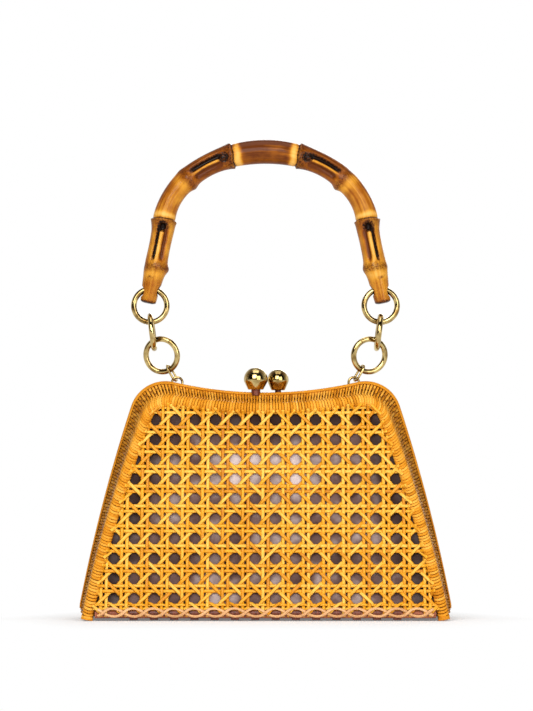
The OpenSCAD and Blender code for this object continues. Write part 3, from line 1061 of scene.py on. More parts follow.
    def foot_loops(self) -> Patch:
        """Loops round the roll alone, below the lowest weft: circles in the wall's own axes.

        Returns:
            The loops.
        """
        t = np.array(self.loops_t)
        t = np.concatenate([t, END_T - t])
        a = np.linspace(0, TAU, 25) + math.pi
        border, e, out, along, _ = self.shell.frames(np.repeat(t[:, None], len(a), 1))
        big = self.roll_r + self.weft_t
        path = border + big * (np.sin(a)[:, None] * e + np.cos(a)[:, None] * out)
        run = unit(np.gradient(path, axis=1))
        across = squared(along, run)
        tint = np.linspace(*self.loop_tints, len(t))
        return swept(path, across, np.cross(run, across), oval(self.loop_w, self.weft_t, 8), tint)

    def build(self) -> None:
        """Makes the wall's pieces and sets them on the half."""
        node = f"{self.side.prefix}_wall"
        bound = Patch.joined([self.wefts(), self.foot_loops(), self.bindings()])
        pieces = (("wefts", bound, self.finishes.reed), ("ribs", self.cores(), self.finishes.core))
        for name, patch, finish in pieces:
            piece = patch.scaled(1, self.side.sign).build(f"{node}_{name}", finish)
            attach(piece, self.side.body)
            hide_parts(node)


@dataclass
class CaneWebbing:
    """A half's six-way cane webbing: pairs of uprights and crossers, and diagonals both ways.

    It lies in the panel's plane and turns round the bottom rod along a curve: q is the distance up
    along that curve, the same as v in the plane.
    """

    side: Side
    shell: HalfShell
    finishes: Finishes
    pitch: float = 13.9
    first_row: float = 10.4
    rows: int = 10
    spread: float = 1.8
    strand_w: float = 1.22
    strand_t: float = 0.44
    strand_scales: tuple[float, float] = (0.92, 1.06)
    weave_h: float = 0.46
    float_h: float = 0.95
    float_flat: float = 2.2
    edge_inset: float = 1.8
    ragged: float = 1.5
    climb_h: float = 3.9
    climb_from: float = 5.4
    climb_run: float = 3.6
    climb_above_rod: Fade = Fade(7.0, 5.0)
    flat_top: float = 165.0
    bend_from: float = 11.0
    bend_pull: float = 3.6
    lap_pull: float = 2.6
    lap_deg: float = 60.0
    under_deg: float = 265.0
    lap_r: float = 4.95
    rod_lap_r: float = 3.75
    lap_shrinks: Fade = Fade(75.0, 50.0)
    side_pairs: int = 8
    upright_end: float = -5.2
    upright_weaves: Fade = Fade(-3.0, 3.0)
    upright_sinks: Fade = Fade(-3.6, -1.6)
    diagonal_steps: int = 24
    diagonal_span: tuple[float, float] = (-6.0, 150.0)
    low_over: float = -2.2
    low_under: float = 5.2
    fewest: int = 60
    twine_q: float = -1.2
    twine_h: float = 2.4
    twine_out: float = 1.0
    twine_swap: float = 0.42
    twine_scale: float = 0.95
    twine_reach: float = 115.0
    curve: tuple[Array, ...] = field(init=False)

    def __post_init__(self) -> None:
        """Tabulates the curve that turns round the rod, against q.

        It is flat, then a cubic curve that swells out to a circle round the rod at lap_deg, then an
        arc whose radius shrinks to the rod as it goes under.
        """
        up = np.linspace(self.flat_top, self.bend_from, 300)
        flat = np.stack([up, np.zeros_like(up)], -1)
        a = math.radians(self.lap_deg)
        meet = self.lap_r * np.array([math.cos(a), math.sin(a)])
        way = np.array([-math.sin(a), math.cos(a)])
        s = np.linspace(0, 1, 120)[1:, None]
        p0, p1 = np.array([self.bend_from, 0.0]), np.array([self.bend_from - self.bend_pull, 0.0])
        p2 = meet - self.lap_pull * way
        bend = (1 - s) ** 3 * p0 + 3 * s * (1 - s) ** 2 * p1 + 3 * s ** 2 * (1 - s) * p2 + s ** 3 * meet
        b = np.radians(np.linspace(self.lap_deg, self.under_deg, 240)[1:])
        r = self.rod_lap_r + (self.lap_r - self.rod_lap_r) * (1 - self.lap_shrinks.at(np.degrees(b)))
        under = np.stack([r * np.cos(b), r * np.sin(b)], -1)
        p = np.concatenate([flat, bend, under])
        q = up[0] - np.concatenate([[0], np.cumsum(np.linalg.norm(np.diff(p, axis=0), axis=-1))])
        way = unit(np.gradient(p, axis=0))
        order = np.argsort(q)
        self.curve = tuple(x[order] for x in (q, p[:, 0], p[:, 1], way[:, 0], way[:, 1]))

    def at(self, u: Array, q: Array, h: Array) -> tuple[Array, Array, Array]:
        """Places on the webbing.

        Args:
            u, q: distances across and up it.
            h: heights off its surface.

        Returns:
            The points, and the unit vectors up along the webbing and outwards.
        """
        table = self.curve
        v, n, dv, dn = (np.interp(q, table[0], column) for column in table[1:])
        zero = np.zeros_like(v)
        origin = self.shell.panel_point(zero, zero, zero)
        up = self.shell.panel_point(zero, -dv, -dn) - origin
        out = self.shell.panel_point(zero, dn, -dv) - origin
        return self.shell.panel_point(u, v, n) + h[..., None] * out, up, out

    def strands(self, u: Array, q: Array, h: Array, seed: int, scale: float = 1.0,
                ends: tuple[float, float] = (0.0, 3.0)) -> Patch:
        """Flat strands with small changes of width and tint, whose ends climb the border roll.

        Args:
            u, q: paths across and up the webbing, a row for each strand.
            h: heights off the webbing's surface.
            seed: for their small differences.
            scale: width as a share of a strand's.
            ends: the stretch of the border that they climb.

        Returns:
            The strands.
        """
        rng = np.random.default_rng(seed)
        gap = self.edge_gap(u, q, ends)
        climb = self.climb_h * smooth((self.climb_from - gap) / self.climb_run)
        climb = climb * self.climb_above_rod.at(q)
        centre, up, _ = self.at(u, q, np.where(gap < self.climb_from, np.maximum(h, climb), h))
        du, dq = np.gradient(u, axis=1), np.gradient(q, axis=1)
        size = np.sqrt(du ** 2 + dq ** 2)
        across = unit(-(dq / size)[..., None] * np.array([1.0, 0, 0]) + (du / size)[..., None] * up)
        run = unit(np.gradient(centre, axis=1))
        normal = np.cross(run, across)
        profile = oval(self.strand_w * scale, self.strand_t, 6)
        profile = profile * rng.uniform(*self.strand_scales, (len(u), 1, 1, 1))
        return swept(centre, across, normal, profile, rng.uniform(0, 1, len(u)))

    def edge_gap(self, u: Array, q: Array, ends: tuple[float, float]) -> Array:
        """Distance from places on the webbing to the border roll's centre line.

        Args:
            u, q: the places.
            ends: the stretch of the border that counts.

        Returns:
            The shortest distance from each place.
        """
        line = self.shell.border.points(np.linspace(*ends, 260))
        away = np.full(u.shape, np.inf)
        for x, y in line:
            away = np.minimum(away, np.hypot(np.abs(u) - x, q - y))
        return away

    def wiggle(self, d: Array) -> Array:
        """The over-and-under of a strand at a pair: the slope of a bell, 1 at -spread, -1 at +spread."""
        x = d / self.spread
        return -x * np.exp(0.5 * (1 - x * x))

    def top_at(self, u: Array) -> Array:
        """Height of the border at a distance from the middle."""
        return np.interp(np.abs(u), *self.shell.border.tops(self.edge_inset), right=-50)

    def uprights(self) -> Patch:
        """Pairs of upright strands, from the border down to the rod, where they end under the twining.

        Height is the wiggle at each pair of crossers, and sinks at the lower end.

        Returns:
            The strands.
        """
        pairs = np.arange(-self.side_pairs, self.side_pairs + 1) * self.pitch
        at = np.concatenate([pairs - self.spread, pairs + self.spread])
        sign = np.concatenate([np.ones(len(pairs)), -np.ones(len(pairs))])[:, None]
        top = (self.top_at(at) - np.random.default_rng(26).uniform(0, self.ragged, len(at)))[:, None]
        q = self.upright_end + np.linspace(0, 1, 170) * (top - self.upright_end)
        row = self.first_row - self.pitch / 2
        d = (q - row + self.pitch / 2) % self.pitch - self.pitch / 2
        h = self.weave_h * sign * self.wiggle(d) * self.upright_weaves.at(q) - self.upright_sinks.at(q)
        u = np.repeat(at[:, None], q.shape[1], 1)
        return self.strands(u, q, h, seed=21, ends=(1.6, 3.0))

    def crossers(self) -> Patch:
        """Pairs of crosswise strands, each cut where the border's top dips below it.

        Returns:
            The strands.
        """
        x, y = self.shell.border.tops(self.edge_inset)
        peak = int(np.argmax(y))
        rows = self.first_row + (np.arange(-1, self.rows) + 0.5) * self.pitch
        runs = []
        for offset, sign in ((self.spread, 1.0), (-self.spread, -1.0)):
            for v in rows + offset:
                outer = float(np.interp(-v, -y[peak:], x[peak:]))
                if v <= y[0]:
                    runs.append((v, -outer, outer, sign))
                elif v < y[peak]:
                    inner = float(np.interp(v, y[:peak + 1], x[:peak + 1]))
                    runs += [(v, -outer, -inner, sign), (v, inner, outer, sign)]
        v, low, high, sign = (np.array(c)[:, None] for c in zip(*runs))
        rng = np.random.default_rng(27)
        low = low + rng.uniform(0, self.ragged, low.shape)
        high = high - rng.uniform(0, self.ragged, high.shape)
        u = low + np.linspace(0, 1, 240) * (high - low)
        d = (u + self.pitch / 2) % self.pitch - self.pitch / 2
        h = self.weave_h * sign * self.wiggle(d)
        return self.strands(u, np.repeat(v, u.shape[1], 1), h, seed=22, ends=(0.0, 1.3))

    def lift(self, u: Array) -> Array:
        """Height of a rising diagonal at u, from 1, over, to -1, under; a falling one has its opposite.

        Left of the middle it is a flattened cosine that is over the uprights and under the
        crossers; it stays over for half a pitch from the middle, and is reversed after that.
        """
        wave = np.tanh(self.float_flat * np.cos(TAU * u / self.pitch)) / math.tanh(self.float_flat)
        return np.where(u <= 0, wave, np.where(u < self.pitch / 2, 1.0, -wave))

    def diagonals(self, way: float, seed: int) -> Patch:
        """Diagonal strands one way, from border to border or down to the rod.

        Args:
            way: 1 for strands that rise to the right, -1 for strands that fall.
            seed: for their small differences.

        Returns:
            The strands, each straight on the webbing's own surface.
        """
        steps = np.arange(-self.diagonal_steps, self.diagonal_steps + 1) * self.pitch
        fine = np.linspace(*self.diagonal_span, 1600)
        lowest = self.first_row - self.pitch / 2
        u_fine = way * (fine - self.first_row) + steps[:, None]
        foot = way * (lowest - self.first_row) + steps
        over = way * self.lift(foot) > 0
        floor = np.where(over, self.low_over, self.low_under)[:, None]
        inside = (fine >= floor) & (fine <= self.top_at(u_fine))
        good = inside.sum(1) > self.fewest
        low = fine[np.argmax(inside, 1)][good][:, None]
        high = fine[inside.shape[1] - 1 - np.argmax(inside[:, ::-1], 1)][good][:, None]
        high = high - np.random.default_rng(seed).uniform(0, self.ragged, high.shape)
        q = low + np.linspace(0, 1, 150) * (high - low)
        u = way * (q - self.first_row) + steps[good][:, None]
        return self.strands(u, q, self.float_h * way * self.lift(u), seed)

    def twining(self) -> Patch:
        """Two strands twined along the rod: sine waves that cross at each pair of uprights.

        Between the pairs they part, above and below the rod's middle, and at each crossing they
        change places, front and behind.

        Returns:
            The strands.
        """
        sign = np.array([[1.0], [-1.0]])
        u = np.linspace(-self.twine_reach, self.twine_reach, 900)[None] + 0 * sign
        turn = math.pi * u / self.pitch
        q = self.twine_q + sign * self.twine_h * np.sin(turn)
        h = self.twine_out + sign * self.twine_swap * np.cos(turn)
        return self.strands(u, q, h, seed=25, scale=self.twine_scale)

    def build(self) -> None:
        """Makes the webbing's pieces and sets them on the half."""
        node = f"{self.side.prefix}_panel"
        slants = Patch.joined([self.diagonals(1.0, 23), self.diagonals(-1.0, 24)])
        cane = self.finishes.cane
        pieces = (("uprights", self.uprights(), cane), ("crossers", self.crossers(), cane),
                  ("diagonals", slants, cane), ("twining", self.twining(), self.finishes.tan))
        for name, patch, finish in pieces:
            piece = patch.scaled(1, self.side.sign).build(f"{node}_{name}", finish)
            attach(piece, self.side.body)
            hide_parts(node)


@dataclass
class ClothLining:
    """A half's satin lining: a sheet behind the webbing and a strip inside the wall."""

    side: Side
    shell: HalfShell
    finishes: Finishes
    inset: float = 3.4
    low_v: float = 6.0
    reach_v: float = 10.0
    behind: float = 2.1
    thick: float = 0.6
    fold_d: float = 1.6
    fold_max: float = 1.4
    fold_edge: float = 12.0
    fold_foot: float = 0.1
    top_room: float = 2.0
    # A painted satin highlight on the front sheet: its place and size.
    painted_highlight_at: tuple[float, float] = (19.0, 100.0)
    painted_highlight_size: tuple[float, float] = (13.0, 15.0)
    # Painted shade: darker near the border and in a band low on the sheet, less in its middle.
    lit: Fade = Fade(7.0, 24.0)
    low_shade: float = 0.45
    low_shade_at: tuple[float, float] = (38.0, 7.0)
    low_light_w: float = 30.0
    sheet_shade: float = 0.85
    sheet_flat: tuple[float, float] = (0.232, 0.142)
    strip_t: float = 0.06
    strip_from: float = 3.8
    strip_less: float = 4.2
    strip_out: float = -4.6
    strip_rise: float = 1.7
    pleat_d: float = 0.5
    pleat_turns: float = 60.0
    strip_grain: float = 90.0
    # Painted shade all over the strip.
    strip_shade: float = 0.8
    strip_flat: tuple[float, float] = (0.54, 0.032)

    def sheet(self) -> Patch:
        """The sheet behind the webbing: upright lines from the bottom to the border, with soft folds.

        Depth is two crossed waves that fan out from the middle of the bottom, and fade at the edge.

        Returns:
            The sheet, whose tint carries a painted satin highlight on the front half, and whose shade is
            painted shade near the border and in a band low down.
        """
        x, y = self.shell.border.tops(self.inset)
        peak = int(np.argmax(y))
        reach = float(np.interp(-self.reach_v, -y[peak:], x[peak:]))
        u = np.linspace(-reach, reach, 160)[:, None]
        top = np.interp(np.abs(u), x, y)
        w = np.linspace(0, 1, 90)
        v = self.low_v + w * (top - self.low_v)
        half = np.interp(-v, -y[peak:], x[peak:])
        room = np.minimum(half - np.abs(u), top - v + self.top_room)
        edge = smooth(room / self.fold_edge) * smooth(w / self.fold_foot)
        fold = 0.5 + 0.5 * np.sin(u * 0.23 * (1 + 0.0016 * v) + 1.3 * np.sin(v * 0.05))
        fold += 0.45 * np.sin(v * 0.11 + u * 0.07)
        n = -self.behind - self.fold_d * edge * np.clip(fold, 0, self.fold_max)
        # A painted satin highlight, on the front half's sheet only.
        painted_highlight = bell(np.abs(u) - self.painted_highlight_at[0], self.painted_highlight_size[0]) * (self.side is Side.FRONT)
        painted_highlight = painted_highlight * bell(v - self.painted_highlight_at[1], self.painted_highlight_size[1])
        # Painted shade: darker where the sheet lies near the border, and in a band low down away from the
        # middle.
        low_v, low_w = self.low_shade_at
        low = self.low_shade * bell(v - low_v, low_w) * (1 - bell(u, self.low_light_w))
        dark = np.clip(1 - self.lit.at(room) + low, 0, 1)
        flat_u = np.repeat(u, len(w), 1)
        p = self.shell.panel_point(flat_u, v, n).reshape(-1, 3)
        grain = np.stack([v, flat_u, painted_highlight], -1).reshape(-1, 3)
        return Patch(p, grid_faces(len(u), len(w)), grain, self.sheet_shade * dark.ravel())

    def strip(self) -> Patch:
        """The strip inside the wall, from the border roll to the rim, with small pleats and painted shade
        all over.

        Depth is a straight slope across the wall, less a pleat: half a sine across times a raised
        sine along.

        Returns:
            The strip.
        """
        t = np.linspace(self.strip_t, END_T - self.strip_t, 420)[:, None]
        s = np.linspace(0, 1, 9)
        border, e, out, _, width = self.shell.frames(np.repeat(t, len(s), 1))
        pleat = np.sin(s * math.pi) * (0.5 + 0.5 * np.sin(t * self.pleat_turns))
        qe = self.strip_from + s * (width - self.strip_less)
        qo = self.strip_out + s * self.strip_rise - self.pleat_d * pleat
        p = (border + qe[..., None] * e + qo[..., None] * out).reshape(-1, 3)
        grain = np.stack(np.broadcast_arrays(t * self.strip_grain, s, 0.0), -1).reshape(-1, 3)
        return Patch(p, grid_faces(len(t), len(s)), grain, np.full(len(p), self.strip_shade))

    def build(self) -> None:
        node = f"{self.side.prefix}_lining"
        cloths = (("sheet", self.sheet(), self.sheet_flat), ("strip", self.strip(), self.strip_flat))
        for name, patch, flat in cloths:
            piece = patch.scaled(1, self.side.sign).build(f"{node}_{name}", self.finishes.lining)
            thicken(piece, self.thick)
            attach(piece, self.side.body)
            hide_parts(node)


@dataclass
class BaseSheet:
    """The lining's sheet on the base, with soft quilting lines."""

    finishes: Finishes
    half_x: float = 112.0
    half_y: float = 27.0
    z: float = 7.2
    thick: float = 0.6
    edge_x: float = 8.0
    edge_y: float = 6.0
    ripple_h: float = 0.35
    # Painted shade towards the sheet's edge, where it meets the walls.
    edge_shade: float = 0.5

    def build(self) -> None:
        """Makes the sheet: a grid whose height is a product of sines along and across, flat at its edge,
        with painted shade towards its edge.
        """
        x = np.linspace(-self.half_x, self.half_x, 180)[:, None]
        y = np.linspace(-self.half_y, self.half_y, 40)[None]
        edge = smooth((self.half_x - np.abs(x)) / self.edge_x)
        edge = edge * smooth((self.half_y - np.abs(y)) / self.edge_y)
        z = self.z + self.ripple_h * edge * (0.5 + 0.5 * np.sin(x * 0.16) * np.sin(y * 0.21 + 1.0))
        p = np.stack(np.broadcast_arrays(x, y, z), -1).reshape(-1, 3)
        faces = [f[:, ::-1] for f in grid_faces(x.size, y.size)]
        # Painted shade, rising towards the edge.
        patch = Patch(p, faces, p * 0.0, self.edge_shade * (1 - edge).ravel())
        piece = patch.build("base_lining", self.finishes.lining)
        thicken(piece, self.thick)
        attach(piece, "basket")
        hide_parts("back_lining")


@dataclass(frozen=True)
class SlotPair:
    """Slots either side of a ridge on the front of an internode: places and widths round the bamboo."""

    node: int
    slot_at: float
    slot_w: float
    slot_d: float
    channel_at: float
    channel_w: float
    channel_d: float
    ridge_at: float
    ridge_w: float
    channel_burn: float
    bud_h: float
    bud_r: float
    bud_burn: float


@dataclass
class Relief:
    """The bamboo's skin on a grid of distances along it and angles round it.

    d is the distance from the handle's middle, a the angle, arc the distance round from the front,
    and lump a slow waviness. The handle's methods shape the radius, the darkening of the scorched
    places, and the paleness.
    """

    d: Array
    a: Array
    arc: Array
    lump: Array
    radius: Array
    darkening: Array
    pale: Array


@dataclass
class BambooHandle:
    """The handle: bent bamboo with knotted nodes, twin slots, buds, and at each tip a hollow where a bore
    would be, painted dark as its shade.
    """

    finishes: Finishes
    arch_half_w: float = 72.0
    arch_h: float = 54.5
    spring_z: float = 273.612
    leg_lean: float = 11.4897
    half_l: float = 152.926
    plane_y: float = 3.0
    bore_x: float = 80.9436
    bore_z: float = 229.612
    bore_r: float = 3.712
    cane_r: float = 8.0
    tip_r: float = 5.4
    nodes: tuple[float, ...] = (21.0, 55.0, 92.0, 127.0)
    waists: tuple[float, ...] = (-0.5, 0.35, 0.5, 0.45, 0.3)
    pairs: tuple[SlotPair, ...] = (
        SlotPair(0, 2.5, 2.0, 2.8, -4.2, 2.3, 1.9, -0.9, 1.0, 0.85, 0.8, 1.5, 0.6),
        SlotPair(2, 3.0, 1.2, 2.2, -3.2, 1.5, 1.8, 0.1, 1.3, 0.85, -4.4, 2.3, 1.6),
    )
    bud_on: float = 6.0
    bud_arc: float = 0.2
    waist_past: float = 12.0
    taper_past: float = 1.5
    round_l: float = 1.3
    tip_l: float = 17.0
    around: int = 108
    scorches: tuple[float, float] = (0.72, 0.46)
    mark: tuple[tuple[float, float], tuple[float, float]] = ((135.0, 1.3), (2.2, 2.6))
    pale_all: float = 0.06
    dark_middle: float = 0.66
    middle_ends: Fade = Fade(14.0, 4.0)
    dark_outside: float = 0.4
    outside_ends: Fade = Fade(82.0, 12.0)
    dark_band: float = 0.34
    band_starts: Fade = Fade(20.0, 3.0)
    band_ends: Fade = Fade(48.0, 12.0)

    def line(self, s: Array) -> tuple[Array, Array]:
        """The handle's middle line, in the XZ plane.

        Half an oval over two straight legs, with the line blurred along its length so that the
        legs leave the oval without a corner.

        Args:
            s: distances along it from the middle.

        Returns:
            The points and their outward unit normals.
        """
        pace = math.radians(1.0) * (self.arch_half_w + self.arch_h) / 2
        arch_l = 90 * pace
        fine = np.linspace(-self.half_l - 40, self.half_l + 40, 3001)
        d = np.abs(fine)
        a = np.radians(90 - np.minimum(d, arch_l) / pace)
        lean, leg = math.radians(self.leg_lean), np.maximum(0.0, d - arch_l)
        x = np.sign(fine) * (self.arch_half_w * np.cos(a) + leg * math.sin(lean))
        z = self.spring_z + self.arch_h * np.sin(a) - leg * math.cos(lean)
        kernel = bell(np.linspace(-2, 2, 121), 1.0)
        kernel /= kernel.sum()
        p = np.stack([np.convolve(np.pad(c, 60, mode="edge"), kernel, "valid") for c in (x, z)], -1)
        way = unit(np.gradient(p, axis=0))
        at = np.stack([np.interp(s, fine, p[:, 0]), np.interp(s, fine, p[:, 1])], -1)
        normal = np.stack([-np.interp(s, fine, way[:, 1]), np.interp(s, fine, way[:, 0])], -1)
        return at, unit(normal)

    def bare(self, s: Array) -> Relief:
        """The skin without its nodes: between one node and the next, a waist that is half a sine deep.

        It is darker in the middle, on the outside of the bend and past the first node.

        Args:
            s: (rings, 1) distances along the middle line.

        Returns:
            The skin.
        """
        d = np.abs(s)
        a = np.arange(self.around)[None] / self.around * TAU
        front = (np.degrees(a) - 270 + 180) % 360 - 180
        lump = np.sin(3 * a + 0.21 * s) + 0.6 * np.sin(5 * a - 0.13 * s + 1.0)
        radius = np.full(np.broadcast_shapes(s.shape, a.shape), self.cane_r)
        ends = np.array((-self.nodes[0],) + self.nodes + (self.half_l + self.waist_past,))
        slot = np.searchsorted(ends[1:], d.ravel())
        lo, hi = ends[slot], ends[np.minimum(slot + 1, len(ends) - 1)]
        share = np.clip((d.ravel() - lo) / (hi - lo), 0, 1)[:, None]
        radius = radius - np.array(self.waists)[slot][:, None] * np.sin(math.pi * share)
        pale = self.pale_all - self.dark_middle * (1 - self.middle_ends.at(d))
        pale = pale - self.dark_outside * smooth(np.cos(a)) * (1 - self.outside_ends.at(d))
        pale = pale - self.dark_band * self.band_starts.at(d) * (1 - self.band_ends.at(d))
        arc = front * math.pi / 180 * self.cane_r
        return Relief(d, a, arc, lump, radius, np.zeros_like(radius), pale)

    def knots(self, skin: Relief) -> None:
        """Adds the nodes, at slightly wavy places.

        The first and third are a step that dies away outwards, with a crease, a scorched line and a
        pale band before it. The others are bell-shaped lumps, higher on the inside of the bend.

        Args:
            skin: the skin that they go on.
        """
        for k, node in enumerate(self.nodes):
            gap = skin.d - (node + 0.5 * np.sin(skin.a * 2 + k) + 0.2 * np.sin(skin.a * 5 + 2 * k))
            after = np.maximum(gap, 0.0)
            if k % 2 == 0:
                swell = 1.5 * smooth(gap + 0.6) * np.exp(-after / 5.5)
                scorch = self.scorches[k // 2] * smooth(gap) * np.exp(-after / 6.5)
                skin.radius = skin.radius + swell - 0.3 * bell(gap + 1.1, 0.5)
                skin.darkening = skin.darkening + bell(gap + 0.4, 0.55) + scorch
                skin.pale = skin.pale + bell(gap + 3.6, 2.2)
            else:
                swell = (0.75 - 0.65 * np.cos(skin.a)) * bell(gap, 3.6)
                skin.radius = skin.radius + swell + 0.2 * skin.lump * bell(gap, 3.2)
                skin.darkening = skin.darkening + 0.44 * bell(gap, 3.0)
                skin.pale = skin.pale + 0.35 * bell(gap - 6.0, 3.0)

    def slots(self, skin: Relief) -> None:
        """Adds each pair of slots with the ridge between them, and its bud or pit with a groove round it.

        A slot is a flat-bottomed bell round the bamboo, and its channel and ridge are plain bells.

        Args:
            skin: the skin that they go on.
        """
        d, arc = skin.d, skin.arc
        for pair in self.pairs:
            bud = self.nodes[pair.node] + self.bud_on
            run = smooth((d - bud - 0.5) / 3.0) * smooth((self.nodes[pair.node + 1] - 2.5 - d) / 6.0)
            groove = np.exp(-(((arc - pair.slot_at) / pair.slot_w) ** 4))
            channel = bell(arc - pair.channel_at, pair.channel_w)
            ridge = bell(arc - pair.ridge_at, pair.ridge_w)
            cut = pair.slot_d * groove
            skin.radius = skin.radius + run * (0.35 * ridge - cut - pair.channel_d * channel)
            skin.darkening = skin.darkening + run * (1.8 * groove - 0.2 * ridge)
            skin.pale = skin.pale + run * (0.7 * ridge - 1.6 * pair.channel_burn * channel)
            span = np.sqrt((d - bud) ** 2 + (arc - self.bud_arc) ** 2)
            moat = span - pair.bud_r - 1.2
            pit = 1 - smooth((span - pair.bud_r) / 0.9)
            skin.radius = skin.radius + pair.bud_h * pit - 0.8 * bell(moat, 0.7)
            skin.darkening = skin.darkening + pair.bud_burn * pit + 0.75 * bell(moat, 0.9)

    def tips(self, skin: Relief) -> None:
        """Tapers the skin to lumpy tips with rounded, scorched ends, and adds a dark mark near each.

        Args:
            skin: the skin that they shape.
        """
        d, last = skin.d, self.nodes[3] + self.taper_past
        taper = np.clip((d - last) / (self.half_l - last), 0, 1)
        skin.radius = skin.radius * (1 - taper) + (self.tip_r + 0.18 * skin.lump) * taper
        round_off = np.clip((d - self.half_l + self.round_l) / self.round_l, 0, 1)
        skin.radius = skin.radius * np.sqrt(1 - 0.62 * round_off ** 2)
        fleck = 0.05 * np.random.default_rng(31).random(skin.radius.shape)
        skin.darkening = skin.darkening + 0.85 * smooth((d - self.half_l + 3.0) / 3.0) + fleck
        (along, along_w), (round_at, round_w) = self.mark
        mark = np.exp(-(((d - along) / along_w) ** 2) - ((skin.arc - round_at) / round_w) ** 2)
        skin.darkening = skin.darkening + 0.42 * mark

    def skin(self) -> Patch:
        """The bamboo's surface: radius as a function of distance along and angle round.

        A point is the middle line plus radius times the cosine along the line's normal and the sine
        across its plane. Points in reach of a bore's axis are drawn in towards the middle of the
        tip, and that hollow and a ring round it are darkened as painted shade of the bore.
        Scorching and that painted shade go into the shade, and paleness into the tint.

        Returns:
            The skin, closed at both tips.
        """
        tip = np.linspace(self.half_l - self.tip_l, self.half_l, 60)
        half = np.concatenate([np.linspace(0, self.half_l - self.tip_l, 230)[:-1], tip])
        s = np.concatenate([-half[:0:-1], half])[:, None]
        skin = self.bare(s)
        self.knots(skin)
        self.slots(skin)
        self.tips(skin)
        a = skin.a
        at, normal = self.line(s.ravel())
        q = skin.radius * np.cos(a)
        points = np.stack([at[:, :1] + q * normal[:, :1], self.plane_y + skin.radius * np.sin(a) + 0 * s,
                           at[:, 1:] + q * normal[:, 1:]], -1)
        reach = np.hypot(points[..., 1] - self.plane_y, points[..., 2] - self.bore_z)
        past = skin.d > self.nodes[3]
        inside = (1 - smooth((reach - self.bore_r + 0.2) / 0.5)) * past
        middle = np.sign(s) * self.bore_x
        floor = middle + np.sign(points[..., 0] - middle) * 1.0
        points[..., 0] += inside * (floor - points[..., 0])
        # Painted shade: the hollow that stands for the bore, and a ring round it, are darkened as the shade
        # of a hole.
        darkening = skin.darkening + 0.9 * inside + 0.35 * bell(reach - self.bore_r, 0.8) * past
        grain = np.stack(np.broadcast_arrays(s, 5 * np.cos(a) + 3 * np.sin(a), skin.pale), -1)
        return Patch(points.reshape(-1, 3), tube_faces(1, len(s), self.around), grain.reshape(-1, 3),
                     np.clip(darkening, 0, 1.5).ravel()).outward()

    def build(self) -> None:
        """Makes the handle and sets it on its body."""
        piece = self.skin().build("bamboo_grip", self.finishes.bamboo)
        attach(piece, "handle")
        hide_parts("bamboo_handle")


@dataclass
class RingChain:
    """One chain: a wire staple, an oval link and three jump rings."""

    hand: Hand
    finishes: Finishes
    ring_r: float = 11.6
    wire_r: float = 2.0
    lower_at: Triple = (72.95, 3.0, 184.413)
    middle_at: Triple = (79.53, 3.0, 200.811)
    upper_at: Triple = (80.9436, 3.0, 219.424)
    lower_lean: float = 30.0
    lower_turn: float = 20.0
    middle_lean: float = 7.0
    middle_turn: float = 90.0
    cuts: Triple = (152.0, 35.0, 285.0)
    cut_d: float = 0.32
    cut_w: float = 0.16
    cut_near: float = 0.12
    cut_far: float = 0.13
    around: int = 28

    def ring(self, at: Triple, lean: float, turn: float, cut: float) -> Patch:
        """A jump ring: a wire's circle carried round a circle, with a hairline cut where it closes.

        Args:
            at: the ring's middle.
            lean: its lean outwards, in degrees.
            turn: its turn from facing the front, in degrees.
            cut: the angle of its cut, in degrees.

        Returns:
            The ring for the right-hand chain.
        """
        near = np.sign(np.linspace(-1, 1, 40)) * np.linspace(-1, 1, 40) ** 2 * self.cut_near
        far = np.linspace(self.cut_far, TAU - self.cut_far, 130)
        a = math.radians(cut) + np.concatenate([near, far])[:, None]
        b = np.arange(self.around)[None] / self.around * TAU
        gap = (a - math.radians(cut)) * self.ring_r
        gap = np.minimum(np.abs(gap), np.abs(gap - TAU * self.ring_r))
        wire = self.wire_r - self.cut_d * bell(gap, self.cut_w)
        radius = self.ring_r + wire * np.cos(b)
        p = np.stack([radius * np.cos(a), radius * np.sin(a), wire * np.sin(b) + 0 * a], -1).reshape(-1, 3)
        p = p @ (turned(0, lean, 0) @ turned(0, 0, turn) @ turned(90, 0, 0)).T + np.array(at)
        return Patch(p, grid_faces(len(a), self.around, True), p, np.zeros(len(p))).outward()

    def build(self) -> None:
        """Makes the three rings, and dresses the link and the staple."""
        word, sign = self.hand.value
        for name, at, lean, turn, cut in (
                ("lower_ring", self.lower_at, self.lower_lean, self.lower_turn, self.cuts[0]),
                ("middle_ring", self.middle_at, self.middle_lean, self.middle_turn, self.cuts[1]),
                ("upper_ring", self.upper_at, 0.0, 0.0, self.cuts[2])):
            patch = self.ring(at, lean, turn, cut).scaled(sign, 1)
            piece = patch.build(f"{word}_{name}_wire", self.finishes.brass)
            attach(piece, f"{word}_{name}")
            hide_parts(f"{word}_{name}")
        for name in ("link", "staple"):
            dress(f"{word}_{name}", self.finishes.brass)


def dress(node: str, material: bpy.types.Material) -> None:
    """Gives a construction node a finish.

    Args:
        node: the node's name.
        material: its finish.
    """
    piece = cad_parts[node]
    piece.data.materials.clear()
    piece.data.materials.append(material)
    LOG.info("%s: dressed", node)


@dataclass(frozen=True)
class BallSize:
    """A clasp ball: its radius, its flat's radius, its height as a share of its width, and its drop.

    The drop is how far its flat lies below the underside of the construction's ball.
    """

    side: Side
    r: float
    flat_r: float
    ratio: float
    drop: float


